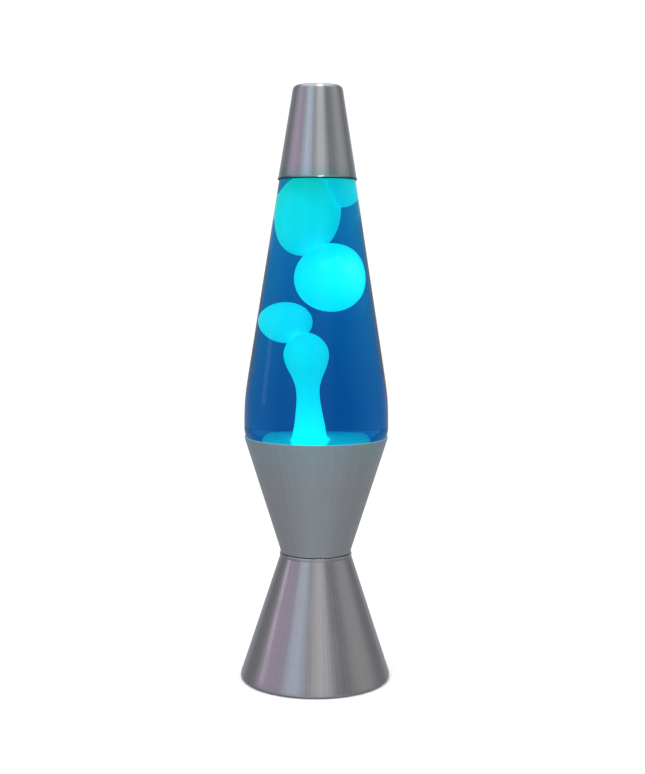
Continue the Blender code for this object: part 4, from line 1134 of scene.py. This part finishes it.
def make_envelope(glass):
    """The bulb's pear-shaped glass, which ends in a dome."""
    low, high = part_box("bulb_envelope")
    wall = 0.5 * MM
    dome_height = 16.0 * MM
    dome_z = high.z - dome_height
    side = [
        (low.z, 6.9 * MM),
        (67.0 * MM, 6.9 * MM),
        (71.0 * MM, 8.7 * MM),
        (79.0 * MM, 12.3 * MM),
        (88.0 * MM, 16.4 * MM),
        (dome_z, high.x),
    ]
    outer = [(spline_value(side, z), z) for z in heights(low.z, dome_z, 40)]
    for angle in heights(0.0, pi / 2.0, 20)[1:-1]:
        outer.append((high.x * cos(angle), dome_z + dome_height * sin(angle)))
    outer.append((0.0, high.z))
    near_top = high.z - 8.0 * MM
    inner = [(max(radius - wall, 0.0), z - (wall if z > near_top else 0.0)) for radius, z in outer]
    envelope = turned(outer + inner[::-1], 96)
    finish_piece("bulb_glass_envelope", envelope, "bulb", ["bulb_envelope"], glass, sharp=50.0)


def make_stem(glass):
    low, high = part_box("bulb_stem")
    outline = rounded(
        (0.0, low.z, 0.0),
        (5.6 * MM, low.z, 0.2 * MM),
        (5.6 * MM, 62.5 * MM, 0.4 * MM),
        (3.0 * MM, 66.0 * MM, 2.0 * MM),
        (1.5 * MM, 70.0 * MM, 2.0 * MM),
        (1.3 * MM, 81.0 * MM, 0.5 * MM),
        (0.0, high.z, 0.0),
    )
    finish_piece("bulb_glass_stem", turned(outline, MEDIUM), "bulb", ["bulb_stem"], glass)


def make_bulb_thread(brass):
    shell_low, shell_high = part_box("bulb_shell")
    low, high = shell_low.z, shell_high.z
    wall = 0.35 * MM
    sleeve = threaded_sleeve(BULB_CREST_RADIUS - wall, wall, low, high, low, high, low, narrow_end=True)
    finish_piece("bulb_thread", sleeve, "bulb", ["bulb_shell"], brass, sharp=60.0)


def make_lead_wires(tungsten):
    """Two wires that spread out from the stem to the ends of the filament."""
    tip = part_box("bulb_lead_2")[1] / MM
    bends = [(70.5, 2.6), (75.0, 2.7), (80.0, 2.9), (86.0, 5.2), (tip.z - 0.2, tip.x - 0.3)]
    for number, sign in ((1, -1.0), (2, 1.0)):
        path = [
            Vector((sign * spline_value(bends, z) * MM, 0.0, z * MM))
            for z in heights(bends[0][0], bends[-1][0], 24)
        ]
        name = f"bulb_lead_{number}"
        finish_piece(name + "_wire", tube_along(path, 0.3 * MM, 12), "bulb", [name], tungsten)


def make_filament(glow):
    """A fine coil that arches from one lead wire to the other."""
    low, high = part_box("bulb_filament")
    arch_z = low.z + 0.5 * MM
    coil = []
    for share in heights(0.0, 1.0, FILAMENT_TURNS * 12):
        angle = pi * share
        heart = Vector((
            -(high.x - 0.4 * MM) * cos(angle),
            (low.y + 0.4 * MM) * sin(angle),
            arch_z + (high.z - arch_z - 0.45 * MM) * sin(angle),
        ))
        around = TURN * FILAMENT_TURNS * share
        outward = Vector((-cos(angle), -sin(angle), 0.0))
        coil.append(heart + 0.26 * MM * (outward * cos(around) + Vector((0.0, 0.0, sin(around)))))
    wire = tube_along(coil, 0.09 * MM, 6)
    finish_piece("bulb_coiled_filament", wire, "bulb", ["bulb_filament"], glow)


def make_bulb(glass, brass, tungsten, glow):
    make_envelope(glass)
    make_stem(glass)
    make_bulb_thread(brass)
    make_lead_wires(tungsten)
    make_filament(glow)


# ---- closure and coil of the globe
def make_crown_cap(finish):
    """The crown cap, with soft flutes round its skirt."""
    low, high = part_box("crown_cap")
    top = high.z
    under = top - 0.35 * MM
    levels = rounded(
        (11.2 * MM, top, 0.0),
        (13.5 * MM, top, 1.2 * MM),
        (14.3 * MM, top - 1.9 * MM, 1.0 * MM),
        (15.0 * MM, low.z + 0.1 * MM, 0.1 * MM),
        (14.65 * MM, low.z, 0.1 * MM),
        (13.95 * MM, top - 1.9 * MM, 0.8 * MM),
        (13.15 * MM, under, 0.9 * MM),
        (11.2 * MM, under, 0.0),
    )
    rings = []
    for radius, height in levels:
        drop = min(max((top - height - 0.5 * MM) / (4.0 * MM), 0.0), 1.0)
        wave = 0.6 * MM * drop
        angles = full_turn(CROWN_FLUTES * 12)
        rings.append([polar(radius + wave * cos(CROWN_FLUTES * a), a, height) for a in angles])
    finish_piece("crown_cap_pressing", loft(rings), "globe", ["crown_cap"], finish)


def make_heating_coil(finish):
    """The ring-shaped spring on the globe's floor."""
    low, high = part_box("heating_coil")
    middle = (low.z + high.z) / 2.0
    tube = (high.z - low.z) / 2.0 - 0.5 * MM
    ring_radius = 22.0 * MM
    path = []
    for around in full_turn(SPRING_TURNS * 20):
        turn = around * SPRING_TURNS
        path.append(Vector(polar(ring_radius + tube * cos(turn), around, middle + tube * sin(turn))))
    coil = tube_along(path, 0.48 * MM, 10, closed=True)
    finish_piece("heating_spring", coil, "globe", ["heating_coil"], finish)


# ---- camera, lights, floor
def make_camera():
    data = bpy.data.cameras.new("camera")
    data.sensor_width = 36.0
    data.lens = CAMERA_LENS
    camera = add_object("camera", data)
    look = Matrix.Rotation(CAMERA_YAW, 4, "Z") @ Matrix.Rotation(pi / 2.0 - CAMERA_TILT, 4, "X")
    roll = Matrix.Rotation(CAMERA_ROLL, 4, "Z")
    camera.matrix_world = Matrix.Translation((0.0, -CAMERA_DISTANCE, CAMERA_HEIGHT)) @ look @ roll
    bpy.context.scene.camera = camera


def area_light(name, azimuth, distance, height, size, energy, color, in_reflections):
    """A softbox that faces the lamp's middle; azimuth 0 is at the camera, positive to its right."""
    data = bpy.data.lights.new(name, "AREA")
    data.shape = "RECTANGLE"
    data.size, data.size_y = size
    data.energy = energy
    data.color = color
    light = add_object(name, data)
    turn = radians(azimuth)
    place = Vector((sin(turn) * distance, -cos(turn) * distance, height))
    aim = Vector((0.0, 0.0, cap_high.z / 2.0)) - place
    light.location = place
    light.rotation_euler = aim.to_track_quat("-Z", "Y").to_euler()
    light.visible_glossy = in_reflections


def soft_strips(tree, azimuth, surround, strips):
    """Tall soft lights round a dark room, each brightest at its middle."""
    color = surround
    for middle, half_width, light in strips:
        facing = tree.math("COSINE", tree.math("SUBTRACT", azimuth, radians(middle)))
        share = tree.remap(facing, cos(radians(half_width)), 1.0, 0.0, 1.0)
        color = tree.mix(share, color, light)
    return color


def make_world():
    """White surroundings, with a few soft strips of light that only reflections see."""
    world = bpy.data.worlds.new("studio")
    bpy.context.scene.world = world
    world.use_nodes = True
    tree = Tree.of(world.node_tree)
    tree.nodes.clear()
    x, y, z = tree.split(tree.add("ShaderNodeTexCoord").outputs["Generated"])
    azimuth = tree.math("ARCTAN2", x, tree.math("MULTIPLY", y, -1.0))
    bands = soft_strips(tree, azimuth, DARK_SURROUND, SOFT_STRIPS)
    ground = soft_strips(tree, azimuth, DARK_GROUND, GROUND_STRIPS)
    studio = tree.mix(tree.remap(z, -0.10, -0.45, 0.0, 1.0), bands, ground)
    studio = tree.mix(tree.remap(z, 0.60, 0.85, 0.0, 1.0), studio, STUDIO_CEILING)
    path = tree.add("ShaderNodeLightPath")
    reflected = tree.math("GREATER_THAN", path.outputs["Glossy Depth"], 0.5)
    through_globe = tree.math("GREATER_THAN", path.outputs["Transmission Depth"], GLASS_WALL_CROSSINGS + 0.5)
    surroundings = tree.mix(through_globe, (1.0, 1.0, 1.0), SEEN_THROUGH_LIQUID)
    plain = tree.add("ShaderNodeBackground", {"Color": surroundings, "Strength": 1.06})
    seen_in_metal = tree.add("ShaderNodeBackground", {"Color": studio, "Strength": 1.0})
    mix = tree.add("ShaderNodeMixShader", {0: reflected, 1: plain.outputs[0], 2: seen_in_metal.outputs[0]})
    tree.add("ShaderNodeOutputWorld", {"Surface": mix.outputs[0]})


def make_floor():
    bm = bmesh.new()
    bmesh.ops.create_grid(bm, x_segments=8, y_segments=8, size=6.0)
    mesh = mesh_from("floor", bm)
    tree = Tree("pale_floor")
    speck = tree.noise(tree.position(), 40.0, detail=3.0)
    tree.principled(
        Base_Color=tree.mix(tree.remap(speck, 0.3, 0.7, 0.0, 1.0), (0.93, 0.93, 0.93), (0.96, 0.96, 0.96)),
        Roughness=0.9,
        Specular_IOR_Level=0.0,
    )
    mesh.materials.append(tree.material)
    floor = add_object("floor", mesh)
    floor.visible_glossy = False
    floor.visible_transmission = False


def make_studio():
    make_camera()
    make_world()
    make_floor()
    for settings in LIGHTS:
        area_light(*settings)
    view = bpy.context.scene.view_settings
    view.view_transform = "Standard"
    view.look = "None"


# ---- assembly
def assign(node, finish):
    """Give a carried-over CAD node a better material."""
    for slot in nodes[node].material_slots:
        slot.material = finish


def build():
    make_lower_cone(spun_aluminium("spun_aluminium", (0.785, 0.765, 0.78), 0.24))
    make_top_cap(spun_aluminium("cap_aluminium", (0.86, 0.88, 0.895), 0.20, cap_low.z))
    make_upper_funnel(satin_paint(), lit_inside())
    make_globe(bottle_glass(), bottle_glass("glass_against_liquid", GLASS_INDEX / LIQUID_INDEX))
    make_liquid(dyed_liquid())
    make_meniscus(bottle_glass("liquid_surface", LIQUID_INDEX))
    make_wax_pool(wax_with_painted_glow("wax_column_glow", *COLUMN_GLOW, *COLUMN_GLOW_HEIGHTS, POOL_GLOW))
    for name in BLOBS:
        low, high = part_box(name)
        top_glow, bottom_glow = BLOB_GLOW[name]
        make_blob(name, wax_with_painted_glow(name + "_glow", top_glow, bottom_glow, low.z, high.z))

    zinc = moulded("zinc_steel", (0.48, 0.48, 0.47), (0.68, 0.68, 0.66), 0.34, metallic=1.0)
    brass = moulded("brass", (0.62, 0.42, 0.16), (0.80, 0.60, 0.28), 0.30, metallic=1.0)
    black = moulded("black_plastic", (0.012, 0.012, 0.012), (0.03, 0.03, 0.03), 0.5)
    rubber = moulded("black_rubber", (0.010, 0.010, 0.010), (0.025, 0.025, 0.025), 0.75, grain=2200.0)
    bakelite = moulded("bakelite", (0.022, 0.015, 0.012), (0.05, 0.036, 0.03), 0.32)
    vitrite = moulded("vitrite", (0.006, 0.006, 0.01), (0.02, 0.02, 0.025), 0.12)
    solder = moulded("solder", (0.45, 0.45, 0.47), (0.66, 0.66, 0.68), 0.38, metallic=1.0)
    tungsten = moulded("tungsten", (0.22, 0.21, 0.20), (0.38, 0.37, 0.36), 0.45, metallic=1.0)
    tinplate = moulded("crown_tinplate", (0.62, 0.50, 0.26), (0.80, 0.68, 0.42), 0.28, metallic=1.0)
    liner = moulded("cap_liner", (0.78, 0.78, 0.74), (0.88, 0.88, 0.85), 0.5)
    make_grommet(rubber)
    make_bottom_plate(black)
    make_feet(rubber)
    make_waist_screws(zinc)
    make_socket(bakelite, brass)
    make_bulb(bottle_glass("bulb_glass"), brass, tungsten, hot_filament())
    make_crown_cap(tinplate)
    make_heating_coil(zinc)
    groups = (
        (zinc, ("socket_bracket", "waist_nut_1", "waist_nut_2", "socket_nipple", "nipple_nut")),
        (brass, ("socket_contact",)),
        (vitrite, ("bulb_insulator",)),
        (solder, ("bulb_tip",)),
        (liner, ("cap_liner",)),
    )
    for finish, names in groups:
        for name in names:
            assign(name, finish)
    make_studio()


build()
